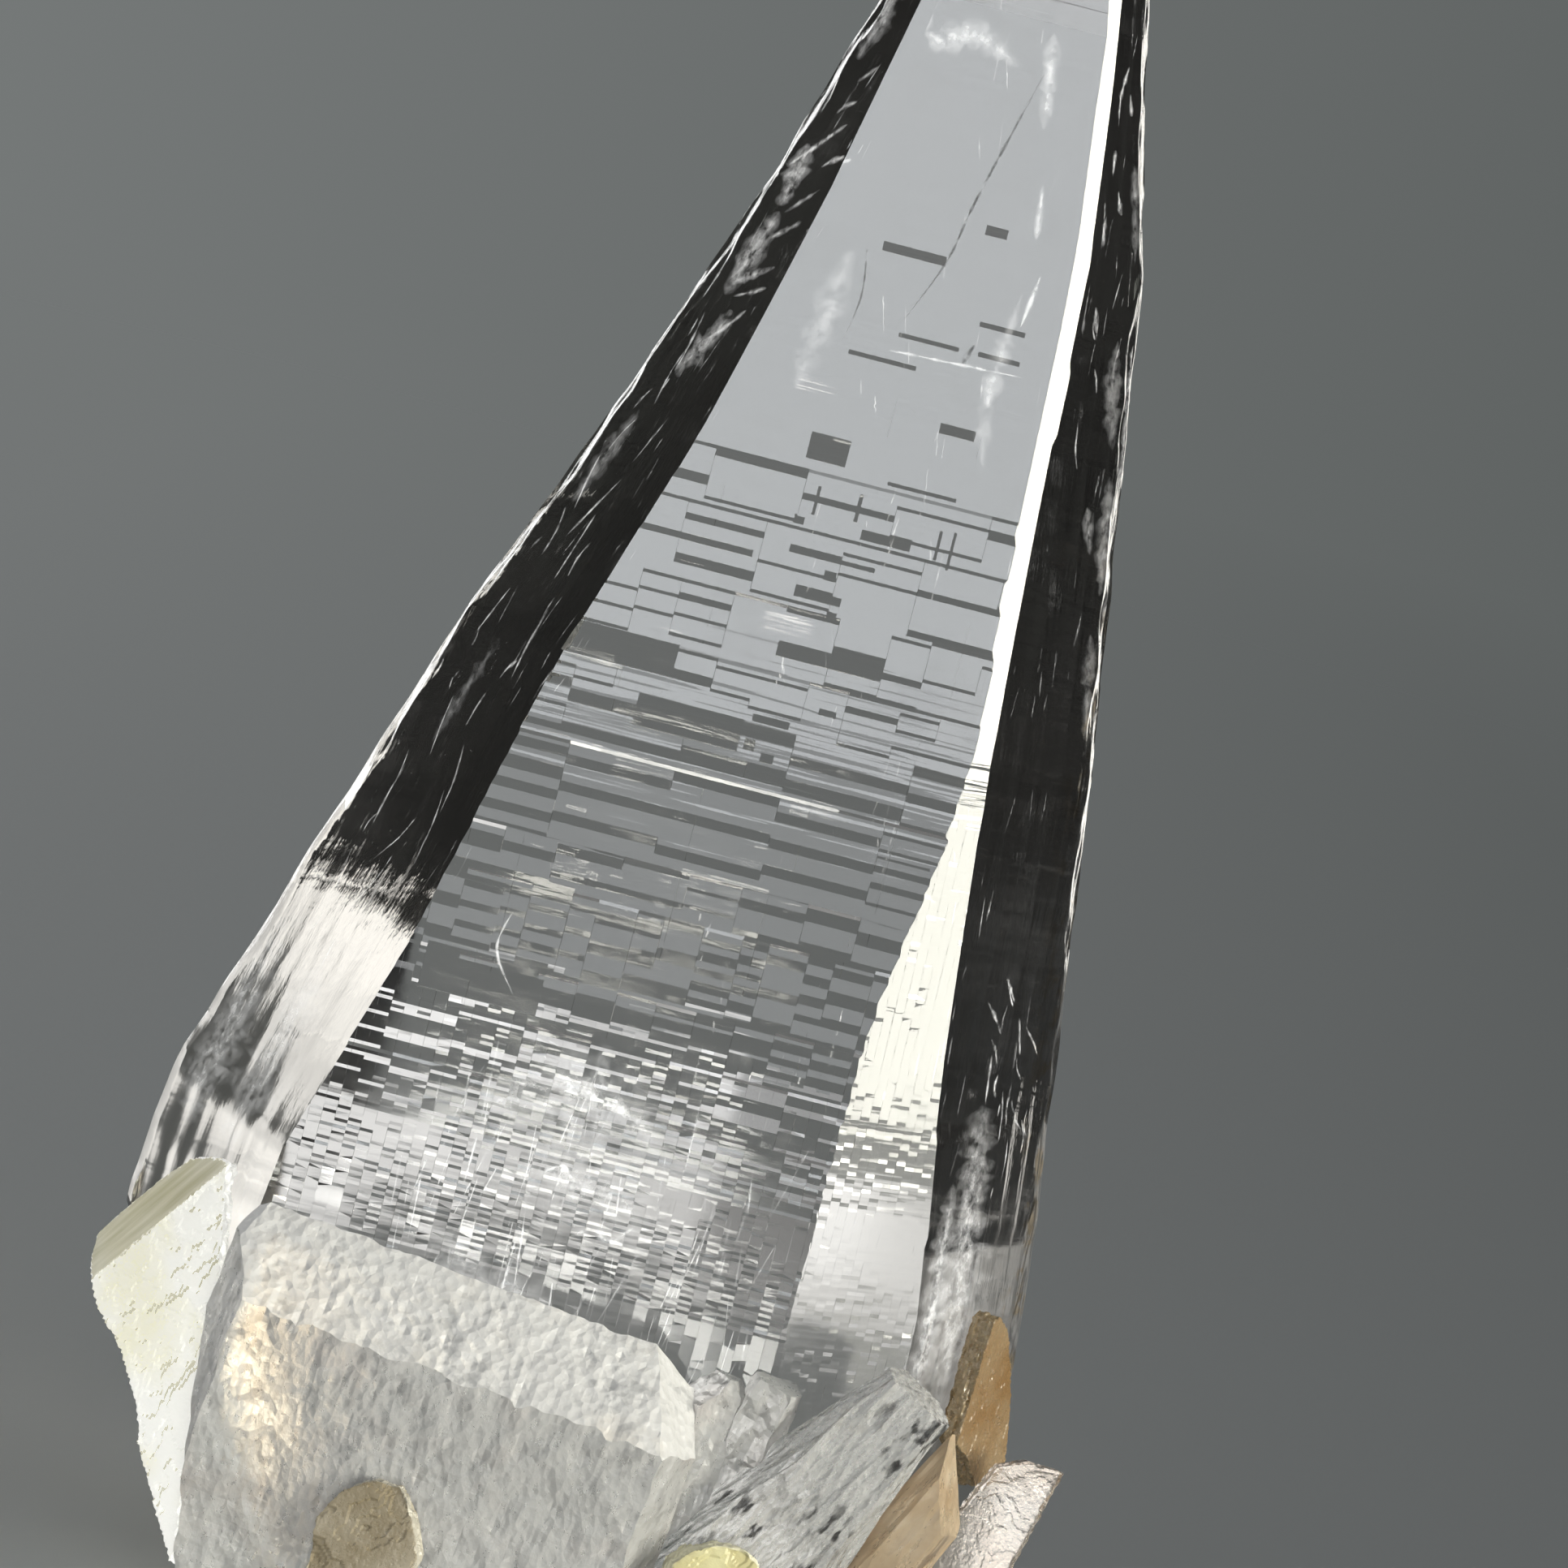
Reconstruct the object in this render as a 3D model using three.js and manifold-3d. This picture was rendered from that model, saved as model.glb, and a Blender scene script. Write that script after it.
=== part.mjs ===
// A clear quartz crystal of the Tessin habit: a hexagonal point that tapers all the way up in growth ledges.
// Short side crystals have grown into its foot, and mica plates and chips sit against it.
// Millimetres, +Z up. The origin is on the flat break that the crystal stands on, straight below its tip.

import * as THREE from "three";
import { mergeVertices } from "three/addons/utils/BufferGeometryUtils.js";
import Module from "manifold-3d";

const wasm = await Module();
wasm.setup();

// Driving dimensions of the main crystal.
const tipHeight = 156;
const tipAngle = 38.2; // between the tip's small faces and the c-axis
const lowerTipFaces = [-150, -30, 90]; // these meet the axis at the tip
const upperTipFaces = [-90, 30, 150]; // these meet it a little above, so they come out smaller
const upperTipRise = 1.2;
const cornerCosine = Math.cos(Math.PI / 6); // for faces 60 degrees apart, halfway between them

// The heights where the taper changes, and how far each face lies from the c-axis at each of them.
const shoulders = [0, 9, 17, 25, 36, 57, 77, 96, 115, 131, 153, tipHeight];
const mainFaces = [
  { azimuth: -150, offsets: [25, 28.6, 33.6, 38.3, 37.8, 31.6, 26.4, 19.4, 13.4, 9.2, 3.9, 3.2], ledges: 18 },
  { azimuth: -90, offsets: [17.5, 19.5, 19.4, 19.3, 18.9, 17.6, 15.1, 11.8, 8, 5, 2.4, 2], ledges: 22 },
  { azimuth: -60, widths: [11, 11, 11, 11, 10.8, 6.8, 1.5, 1.3, 1.3, 1.2, 0.8, 0.8] },
  { azimuth: -30, offsets: [19.5, 21.8, 21.8, 21.7, 21.2, 18.8, 17.1, 14.4, 11.8, 8.6, 4, 3.3], ledges: 14 },
  { azimuth: 30, offsets: [22, 24.2, 24.1, 23.9, 23.2, 20.9, 17.7, 15.2, 12.5, 9, 4.3, 3.5], ledges: 14 },
  { azimuth: 90, offsets: [18, 20.2, 20.2, 20.1, 19.7, 18.6, 16.2, 12.6, 8.7, 5.4, 2.8, 2.2], ledges: 18 },
  { azimuth: 150, offsets: [29, 32.5, 36, 39.7, 39.2, 33.2, 26.7, 20.4, 14.3, 9.8, 4.1, 3.4], ledges: 16 },
];
const ledgeShare = 0.42; // how much of a face's taper lies in its ledges
const ledgeRise = 0.45; // height of the sloping edge of a ledge
const lowestLedge = 26;
const highestLedge = 148;

// Raised growth: broad blocks on the two wide faces, narrow ribs along the c-axis on the faces beside them.
const growthSets = [
  { azimuth: -90, count: 34, heights: [38, 110], wide: [2.5, 8], tall: [1.2, 4.5] },
  { azimuth: 90, count: 18, heights: [24, 112], wide: [2.5, 9], tall: [1.2, 5] },
  { azimuth: -150, count: 8, heights: [40, 108], wide: [0.7, 1.6], tall: [4, 9] },
  { azimuth: 150, count: 8, heights: [30, 108], wide: [0.7, 2], tall: [4, 9] },
  { azimuth: -30, count: 6, heights: [34, 108], wide: [0.7, 1.4], tall: [4, 9] },
  { azimuth: 30, count: 6, heights: [30, 108], wide: [0.7, 1.8], tall: [4, 9] },
];
const growthDepth = 1.4;
const growthProud = 0.38;
const growthMargin = 0.8; // between a block and the edge of its face
const taperReach = 8; // the height over which a block takes the lean of its face

// The same numbers on every run.
function seededRandom(seed) {
  let state = seed;
  return () => {
    state = (state * 1664525 + 1013904223) % 4294967296;
    return state / 4294967296;
  };
}

// The value at a height, on straight lines between the values at the shoulders.
function between(heights, values, height) {
  const upper = Math.max(1, heights.findIndex((h) => h >= height));
  const part = (height - heights[upper - 1]) / (heights[upper] - heights[upper - 1]);
  return THREE.MathUtils.lerp(values[upper - 1], values[upper], part);
}

// A face climbs steeply from one ledge to the next, and steps in at each.
function terracedOffset(face, heights, height) {
  const smooth = (z) => between(heights, face.offsets, z);
  const above = face.ledgeHeights.findIndex((h) => h >= height);
  if (above < 1) return smooth(height);
  const low = face.ledgeHeights[above - 1];
  const high = face.ledgeHeights[above];
  const foot = high - ledgeRise;
  const drop = smooth(low) - smooth(high);
  const climbed = Math.min(1, (height - low) / (foot - low));
  const stepped = Math.max(0, (height - foot) / ledgeRise);
  return smooth(low) - drop * ((1 - ledgeShare) * climbed + ledgeShare * stepped);
}

// How far each face lies from the axis at one height. A face that only trims a corner follows its neighbours.
function faceLines(faces, heights, height) {
  const lines = faces.map((face) => ({
    angle: THREE.MathUtils.degToRad(face.azimuth),
    offset: face.offsets ? terracedOffset(face, heights, height) : 0,
  }));
  faces.forEach((face, i) => {
    if (!face.widths) return;
    const beside = lines[i - 1].offset + lines[i + 1].offset;
    lines[i].offset = (beside - between(heights, face.widths, height) / 2) / (2 * cornerCosine);
  });
  return lines;
}

// The corners of one level cross-section: where each face meets the next.
function crossSection(lines, height) {
  return lines.map((line, i) => {
    const next = lines[(i + 1) % lines.length];
    const turn = Math.sin(next.angle - line.angle);
    const x = (line.offset * Math.sin(next.angle) - next.offset * Math.sin(line.angle)) / turn;
    const y = (next.offset * Math.cos(line.angle) - line.offset * Math.cos(next.angle)) / turn;
    return new THREE.Vector3(x, y, height);
  });
}

// A closed skin over rings of the same number of corners, from the lowest to the highest.
function loft(rings) {
  const corners = rings[0].length;
  const top = (rings.length - 1) * corners;
  const index = [];
  for (let ring = 0; ring < rings.length - 1; ring++) {
    for (let i = 0; i < corners; i++) {
      const a = ring * corners + i;
      const b = ring * corners + ((i + 1) % corners);
      index.push(a, b, b + corners, a, b + corners, a + corners);
    }
  }
  for (let i = 1; i < corners - 1; i++) {
    index.push(0, i + 1, i);
    index.push(top, top + i, top + i + 1);
  }
  return new THREE.BufferGeometry().setFromPoints(rings.flat()).setIndex(index);
}

function solidFrom(geometry) {
  const bare = geometry.index ? geometry.clone() : mergeVertices(geometry.clone().deleteAttribute("uv"));
  bare.deleteAttribute("normal");
  bare.deleteAttribute("uv");
  const merged = mergeVertices(bare, 1e-4);
  return new wasm.Manifold(
    new wasm.Mesh({
      numProp: 3,
      vertProperties: merged.attributes.position.array,
      triVerts: new Uint32Array(merged.index.array),
    }),
  );
}

function geometryFrom(solid) {
  const mesh = solid.getMesh();
  const geometry = new THREE.BufferGeometry();
  geometry.setAttribute("position", new THREE.BufferAttribute(mesh.vertProperties, 3));
  geometry.setIndex(new THREE.BufferAttribute(mesh.triVerts, 1));
  const faceted = geometry.toNonIndexed();
  faceted.computeVertexNormals();
  return faceted;
}

// Cuts the top of a solid with one sloping face, which meets the axis at the apex height.
function capped(solid, azimuth, apex) {
  const slope = THREE.MathUtils.degToRad(tipAngle);
  const angle = THREE.MathUtils.degToRad(azimuth);
  const inward = [-Math.cos(slope) * Math.cos(angle), -Math.cos(slope) * Math.sin(angle), -Math.sin(slope)];
  return solid.trimByPlane(inward, inward[2] * apex);
}

// The main crystal: a terraced, tapering hexagon with one trimmed corner, and a tip of six small faces.
function mainCrystal() {
  const random = seededRandom(7);
  const heights = new Set(shoulders);
  for (const face of mainFaces) {
    if (!face.ledges) continue;
    const spacing = (highestLedge - lowestLedge) / face.ledges;
    face.ledgeHeights = Array.from(
      { length: face.ledges },
      (_, i) => lowestLedge + spacing * (i + 0.15 + 0.7 * random()),
    );
    face.ledgeHeights.forEach((h) => heights.add(h).add(h - ledgeRise));
  }
  const rings = [...heights]
    .sort((a, b) => a - b)
    .filter((h, i, all) => i === 0 || h - all[i - 1] > 0.05)
    .map((h) => crossSection(faceLines(mainFaces, shoulders, h), h));
  let solid = solidFrom(loft(rings));
  for (const set of growthSets) solid = wasm.Manifold.union([solid, ...growthBlocks(set, random)]);
  lowerTipFaces.forEach((azimuth) => (solid = capped(solid, azimuth, tipHeight)));
  upperTipFaces.forEach((azimuth) => (solid = capped(solid, azimuth, tipHeight + upperTipRise)));
  return solid;
}

// Low rectangular blocks that stand proud of a face, squared to the c-axis and leaning with the face.
function growthBlocks({ azimuth, count, heights, wide, tall }, random) {
  const side = mainFaces.findIndex((face) => face.azimuth === azimuth);
  const pick = ([low, high]) => low + (high - low) * random();
  return Array.from({ length: count }, () => {
    const height = pick(heights);
    const lines = faceLines(mainFaces, shoulders, height);
    const corners = crossSection(lines, height);
    const angle = lines[side].angle;
    const across = (corner) => -corner.x * Math.sin(angle) + corner.y * Math.cos(angle);
    const from = across(corners[(side + corners.length - 1) % corners.length]);
    const to = across(corners[side]);
    const width = Math.min(pick(wide), (to - from) / 2);
    const inside = width / 2 + growthMargin;
    const centre = THREE.MathUtils.lerp(from + inside, to - inside, random());
    const above = faceLines(mainFaces, shoulders, height + taperReach);
    const taper = (lines[side].offset - above[side].offset) / taperReach;
    return solidFrom(
      new THREE.BoxGeometry(growthDepth, width, pick(tall))
        .rotateY(-Math.atan(taper))
        .translate(lines[side].offset + growthProud - growthDepth / 2, centre, height)
        .rotateZ(angle),
    );
  });
}

// Side crystals start below the floor, so that one which leans is still whole where it is cut off.
const sideStart = -12;
const thinnest = 0.6; // no face comes nearer the axis
const grooveSide = 1;

// A plain side crystal in its own frame: six faces with their own offsets, one taper, a sloping cap for each.
function sideCrystal({ length, taper, offsets, caps, grooves = 0 }) {
  const inset = Math.tan(THREE.MathUtils.degToRad(taper));
  const azimuths = [-150, -90, -30, 30, 90, 150];
  const lines = (height) =>
    azimuths.map((azimuth, i) => ({
      angle: THREE.MathUtils.degToRad(azimuth),
      offset: Math.max(thinnest, offsets[i] - inset * height),
    }));
  let solid = solidFrom(loft([sideStart, length].map((h) => crossSection(lines(h), h))));
  caps.forEach((apex, i) => (solid = capped(solid, azimuths[i], apex)));
  if (!grooves) return solid;
  return solid.subtract(wasm.Manifold.union(etchGrooves(length, offsets[1], inset, grooves)));
}

// Square-edged bars laid in the front face, along the crystal's length, to be cut away as etched grooves.
function etchGrooves(length, front, inset, count) {
  const random = seededRandom(19);
  return Array.from({ length: count }, (_, i) => {
    const centre = length * (0.45 + 0.5 * random());
    const across = (i / (count - 1) - 0.5) * (front - inset * centre) * 1.3;
    return solidFrom(
      new THREE.BoxGeometry(grooveSide, grooveSide, length * (0.12 + 0.2 * random()))
        .rotateZ(Math.PI / 4)
        .rotateX(-Math.atan(inset))
        .translate(across, inset * centre - front, centre),
    );
  });
}

function placed(solid, { at, turn }) {
  const turned = new THREE.Euler(...turn.map(THREE.MathUtils.degToRad), "ZYX");
  const matrix = new THREE.Matrix4().makeRotationFromEuler(turned).setPosition(...at);
  return solid.transform(matrix.elements);
}

// Side crystals. Offsets and caps run anticlockwise from the left front face; turn is about X, Y and Z.
const sideCrystals = [
  {
    // broad frosted crystal in front, on the left
    shape: {
      length: 60,
      taper: 0.4,
      offsets: [22, 15.5, 22, 10.8, 2, 10.8],
      caps: [58, 45.9, 54, 56, 19.7, 60],
    },
    place: { at: [-18.3, -12, 0], turn: [0, 6, 0] },
    broken: { inward: [0.99, 0, 0.14], through: [-35.2, 0, 30] },
  },
  {
    // etched crystal in front, leaning to the right
    shape: {
      length: 38,
      taper: 9.5,
      offsets: [9.8, 9, 9.8, 8, 6, 8],
      caps: [43, 42, 43, 43, 44, 42.5],
      grooves: 9,
    },
    place: { at: [-0.8, -15, 0], turn: [8, 30, 0] },
  },
  {
    // thin crystal along its right side
    shape: {
      length: 40,
      taper: 2,
      offsets: [3.4, 3.4, 3.4, 3.2, 3.2, 3.2],
      caps: [34, 32, 28.5, 29, 34, 35],
    },
    place: { at: [10.4, -14.5, 0], turn: [6, 25, 0] },
  },
  {
    // two small crystals in the hollow between the large ones
    shape: {
      length: 30,
      taper: 5,
      offsets: [5, 5, 5, 4.6, 4.6, 4.6],
      caps: [31, 32.5, 32, 32, 32, 31],
    },
    place: { at: [0.6, -17, 0], turn: [4, 5, 12] },
  },
  {
    shape: {
      length: 31,
      taper: 6,
      offsets: [5.2, 4.8, 5, 4.6, 4.6, 4.8],
      caps: [34, 33.5, 34.5, 35, 34, 34],
    },
    place: { at: [2.4, -15.5, 0], turn: [5, 12, -14] },
  },
];

// Mica plates and chips: an outline across and up, a thickness, where the plate stands, and seat, the step of
// 0.3 mm away from the quartz that keeps the plate clear of it.
const plates = [
  {
    name: "left_mica_plate",
    colour: 0xcfcb9a,
    outline: [
      [-7.3, 3.9], [-5.9, 2.1], [-4.2, 1], [-2.9, -0.8], [0.2, -2.6], [3.4, -5.8], [5.2, -9.2],
      [7.4, -11.4], [11.6, -15.8], [14, -11], [12, -5.2], [8.4, -1], [7, 5.3], [4.9, 10.8], [4.1, 13.3],
      [1.5, 13.1], [-1, 12.3], [-3.3, 10], [-6.3, 5.7],
    ],
    thickness: 6,
    edge: { through: [-4.1, 1.1], facing: [-0.82, 0.573], lean: 55 },
    place: { at: [-39.3, -13.5, 21.5], turn: [80, 0, -32] },
    seat: [-0.25, -0.16, 0],
  },
  {
    name: "right_mica_plate",
    colour: 0xb98a55,
    outline: [
      [-2.8, 5.3], [-3.7, 4.8], [-4.1, 2.9], [-4.5, 0.4], [-4.8, -2.2], [-5.2, -4.7], [-3.1, -6.2],
      [-0.7, -8.9], [1.7, -8.3], [3, -6.8], [1.9, -2.4], [0.5, 1.3], [-1.1, 4],
    ],
    thickness: 2.2,
    place: { at: [24, -4, 31], turn: [87, 0, 58] },
    seat: [0.26, -0.15, 0],
  },
  {
    name: "thin_mica_blade",
    colour: 0xb9a58c,
    outline: [
      [-6.4, -8.5], [-3.7, -3.4], [-0.5, 2.8], [0.9, 5.4], [3.4, 6.1], [6.4, 5.7], [5.6, 3.1], [4.1, -2.1],
      [2.8, -7.6], [1, -11.4], [-3, -12.2],
    ],
    thickness: 1.2,
    place: { at: [24.8, -10.5, 20.4], turn: [86, 0, 18] },
    seat: [0.26, -0.15, 0],
  },
  {
    name: "yellow_chip",
    colour: 0xc9bd6a,
    outline: [
      [-3.6, -1.5], [-2.9, 2.2], [-1.8, 3.4], [0, 4.2], [2, 4.3], [3.4, 3.6], [3.8, 0], [2, -3.2],
      [-1.5, -3.4],
    ],
    thickness: 4.6,
    place: { at: [6, -25.2, 14.5], turn: [80, 0, 8] },
    seat: [0, -0.3, 0],
  },
  {
    name: "brown_chip",
    colour: 0x9a7a52,
    outline: [
      [-3.6, 1], [-2.2, 3.4], [-0.2, 4.9], [2, 5], [3.5, 3], [4.6, 0.2], [4.2, -3.5], [0, -5], [-3.2, -3],
    ],
    thickness: 3,
    place: { at: [-19, -28, 13], turn: [84, 0, -8] },
    seat: [0, -0.3, 0],
  },
];

// A side crystal where it grew, with its one broken side cut off flat.
function sideCrystalInPlace({ shape, place, broken }) {
  const solid = placed(sideCrystal(shape), place);
  if (!broken) return solid;
  const inward = new THREE.Vector3(...broken.inward);
  return solid.trimByPlane(broken.inward, inward.dot(new THREE.Vector3(...broken.through)));
}

// A plate is an outline of even thickness. One edge may slope back from a line on its front, and its seat is
// cut clear of the quartz.
function plate({ outline, thickness, edge, place, seat }, quartz) {
  const shape = new THREE.Shape(outline.map(([across, up]) => new THREE.Vector2(across, up)));
  const slab = new THREE.ExtrudeGeometry(shape, { depth: thickness, bevelEnabled: false });
  let solid = solidFrom(slab.translate(0, 0, -thickness / 2));
  if (edge) {
    const lean = THREE.MathUtils.degToRad(edge.lean);
    const [across, up] = edge.facing;
    const inward = [-across * Math.cos(lean), -up * Math.cos(lean), -Math.sin(lean)];
    const through = new THREE.Vector3(...edge.through, thickness / 2);
    solid = solid.trimByPlane(inward, through.dot(new THREE.Vector3(...inward)));
  }
  return placed(solid, place).subtract(quartz).subtract(quartz.translate(seat));
}

function mesh(name, solid, material) {
  const made = new THREE.Mesh(geometryFrom(solid), material);
  made.name = name;
  return made;
}

const onFloor = (solid) => solid.trimByPlane([0, 0, 1], 0);

const quartz = onFloor(wasm.Manifold.union([mainCrystal(), ...sideCrystals.map(sideCrystalInPlace)]));

const specimen = new THREE.Group();
specimen.add(
  mesh(
    "quartz_crystal",
    quartz,
    new THREE.MeshStandardMaterial({ color: 0xdfe4e4, roughness: 0.05, metalness: 0 }),
  ),
);
for (const entry of plates) {
  const solid = onFloor(plate(entry, quartz));
  const material = new THREE.MeshStandardMaterial({ color: entry.colour, roughness: 0.3, metalness: 0 });
  specimen.add(mesh(entry.name, solid, material));
}

export default specimen;
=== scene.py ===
# A clear quartz crystal of the Tessin habit, with its side crystals and mica plates
import math
import random

import bmesh
import bpy
from mathutils import Euler, Matrix, Vector, noise


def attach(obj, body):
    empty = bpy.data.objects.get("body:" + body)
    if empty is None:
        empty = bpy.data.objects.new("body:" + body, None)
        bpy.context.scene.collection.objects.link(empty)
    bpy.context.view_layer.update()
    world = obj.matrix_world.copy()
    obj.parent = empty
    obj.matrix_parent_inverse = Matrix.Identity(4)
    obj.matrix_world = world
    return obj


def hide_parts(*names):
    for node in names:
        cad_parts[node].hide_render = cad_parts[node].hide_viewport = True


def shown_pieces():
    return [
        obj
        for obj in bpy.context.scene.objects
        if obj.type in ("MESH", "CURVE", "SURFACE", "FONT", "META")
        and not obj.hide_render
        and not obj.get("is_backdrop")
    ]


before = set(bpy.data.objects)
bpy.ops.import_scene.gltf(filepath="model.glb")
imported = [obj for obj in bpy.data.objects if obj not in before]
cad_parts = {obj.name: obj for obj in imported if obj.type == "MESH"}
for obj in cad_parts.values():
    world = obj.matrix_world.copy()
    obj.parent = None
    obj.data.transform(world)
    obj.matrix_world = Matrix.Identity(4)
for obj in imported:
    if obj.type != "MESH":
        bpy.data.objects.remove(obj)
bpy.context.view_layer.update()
mm = 0.001
print("frame loaded:", ", ".join(sorted(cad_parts)))


# small helpers for node trees

def feed(tree, inputs, values):
    for socket, value in zip(inputs, values):
        if isinstance(value, bpy.types.NodeSocket):
            tree.links.new(value, socket)
        elif value is not None:
            socket.default_value = value


def addNode(tree, kind, values=(), **settings):
    # a node with its settings made; its inputs are fed in order or, from a dictionary, by name
    node = tree.nodes.new(kind)
    for label, value in settings.items():
        setattr(node, label, value)
    if isinstance(values, dict):
        feed(tree, [node.inputs[label] for label in values], values.values())
    else:
        feed(tree, node.inputs, values)
    return node


def calc(tree, operation, *values):
    return addNode(tree, "ShaderNodeMath", values, operation=operation).outputs[0]


def vectorOf(tree, *values):
    return addNode(tree, "ShaderNodeCombineXYZ", values).outputs[0]


def partsOf(tree, vector):
    return addNode(tree, "ShaderNodeSeparateXYZ", [vector]).outputs


def ramp(tree, factor, low, high, bottom=0.0, top=1.0):
    return addNode(tree, "ShaderNodeMapRange", [factor, low, high, bottom, top]).outputs[0]


def texture(tree, kind, vector, **values):
    return addNode(tree, "ShaderNodeTex" + kind, {"Vector": vector, **values})


def pick(tree, low, high, cell, seed):
    # a random number that is the same all over one cell
    return addNode(tree, "FunctionNodeRandomValue", {2: low, 3: high, "ID": cell, "Seed": seed}).outputs[1]


def addObject(name, data):
    made = bpy.data.objects.new(name, data)
    bpy.context.scene.collection.objects.link(made)
    return made


def geometryTree(name, sizes, takesGeometry=False):
    tree = bpy.data.node_groups.new(name, "GeometryNodeTree")
    if takesGeometry:
        tree.interface.new_socket(name="Geometry", in_out="INPUT", socket_type="NodeSocketGeometry")
    for label, value in sizes.items():
        kind = "NodeSocketInt" if isinstance(value, int) else "NodeSocketFloat"
        tree.interface.new_socket(name=label, in_out="INPUT", socket_type=kind).default_value = value
    tree.interface.new_socket(name="Geometry", in_out="OUTPUT", socket_type="NodeSocketGeometry")
    return tree, tree.nodes.new("NodeGroupInput").outputs, tree.nodes.new("NodeGroupOutput").inputs


# Growth faces. A face of the crystal is a thick slab whose outside carries the growth steps,
# and a crystal is what all its slabs have in common. Sizes in the trees are millimetres.

shoulders = [0, 9, 17, 25, 36, 57, 77, 96, 115, 131, 153, 156]


def profileTree():
    # how far a face lies from the axis at a height, on straight lines between the shoulders
    tree = bpy.data.node_groups.new("face profile", "GeometryNodeTree")
    tree.interface.new_socket(name="Height", in_out="INPUT", socket_type="NodeSocketFloat")
    for height in shoulders:
        tree.interface.new_socket(name=f"Offset at {height}", in_out="INPUT", socket_type="NodeSocketFloat")
    tree.interface.new_socket(name="Offset", in_out="OUTPUT", socket_type="NodeSocketFloat")
    given = tree.nodes.new("NodeGroupInput").outputs
    total = given[1]
    for i in range(len(shoulders) - 1):
        part = ramp(tree, given["Height"], shoulders[i], shoulders[i + 1])
        change = calc(tree, "SUBTRACT", given[i + 2], given[i + 1])
        total = calc(tree, "MULTIPLY_ADD", part, change, total)
    tree.links.new(total, tree.nodes.new("NodeGroupOutput").inputs[0])
    return tree


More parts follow.
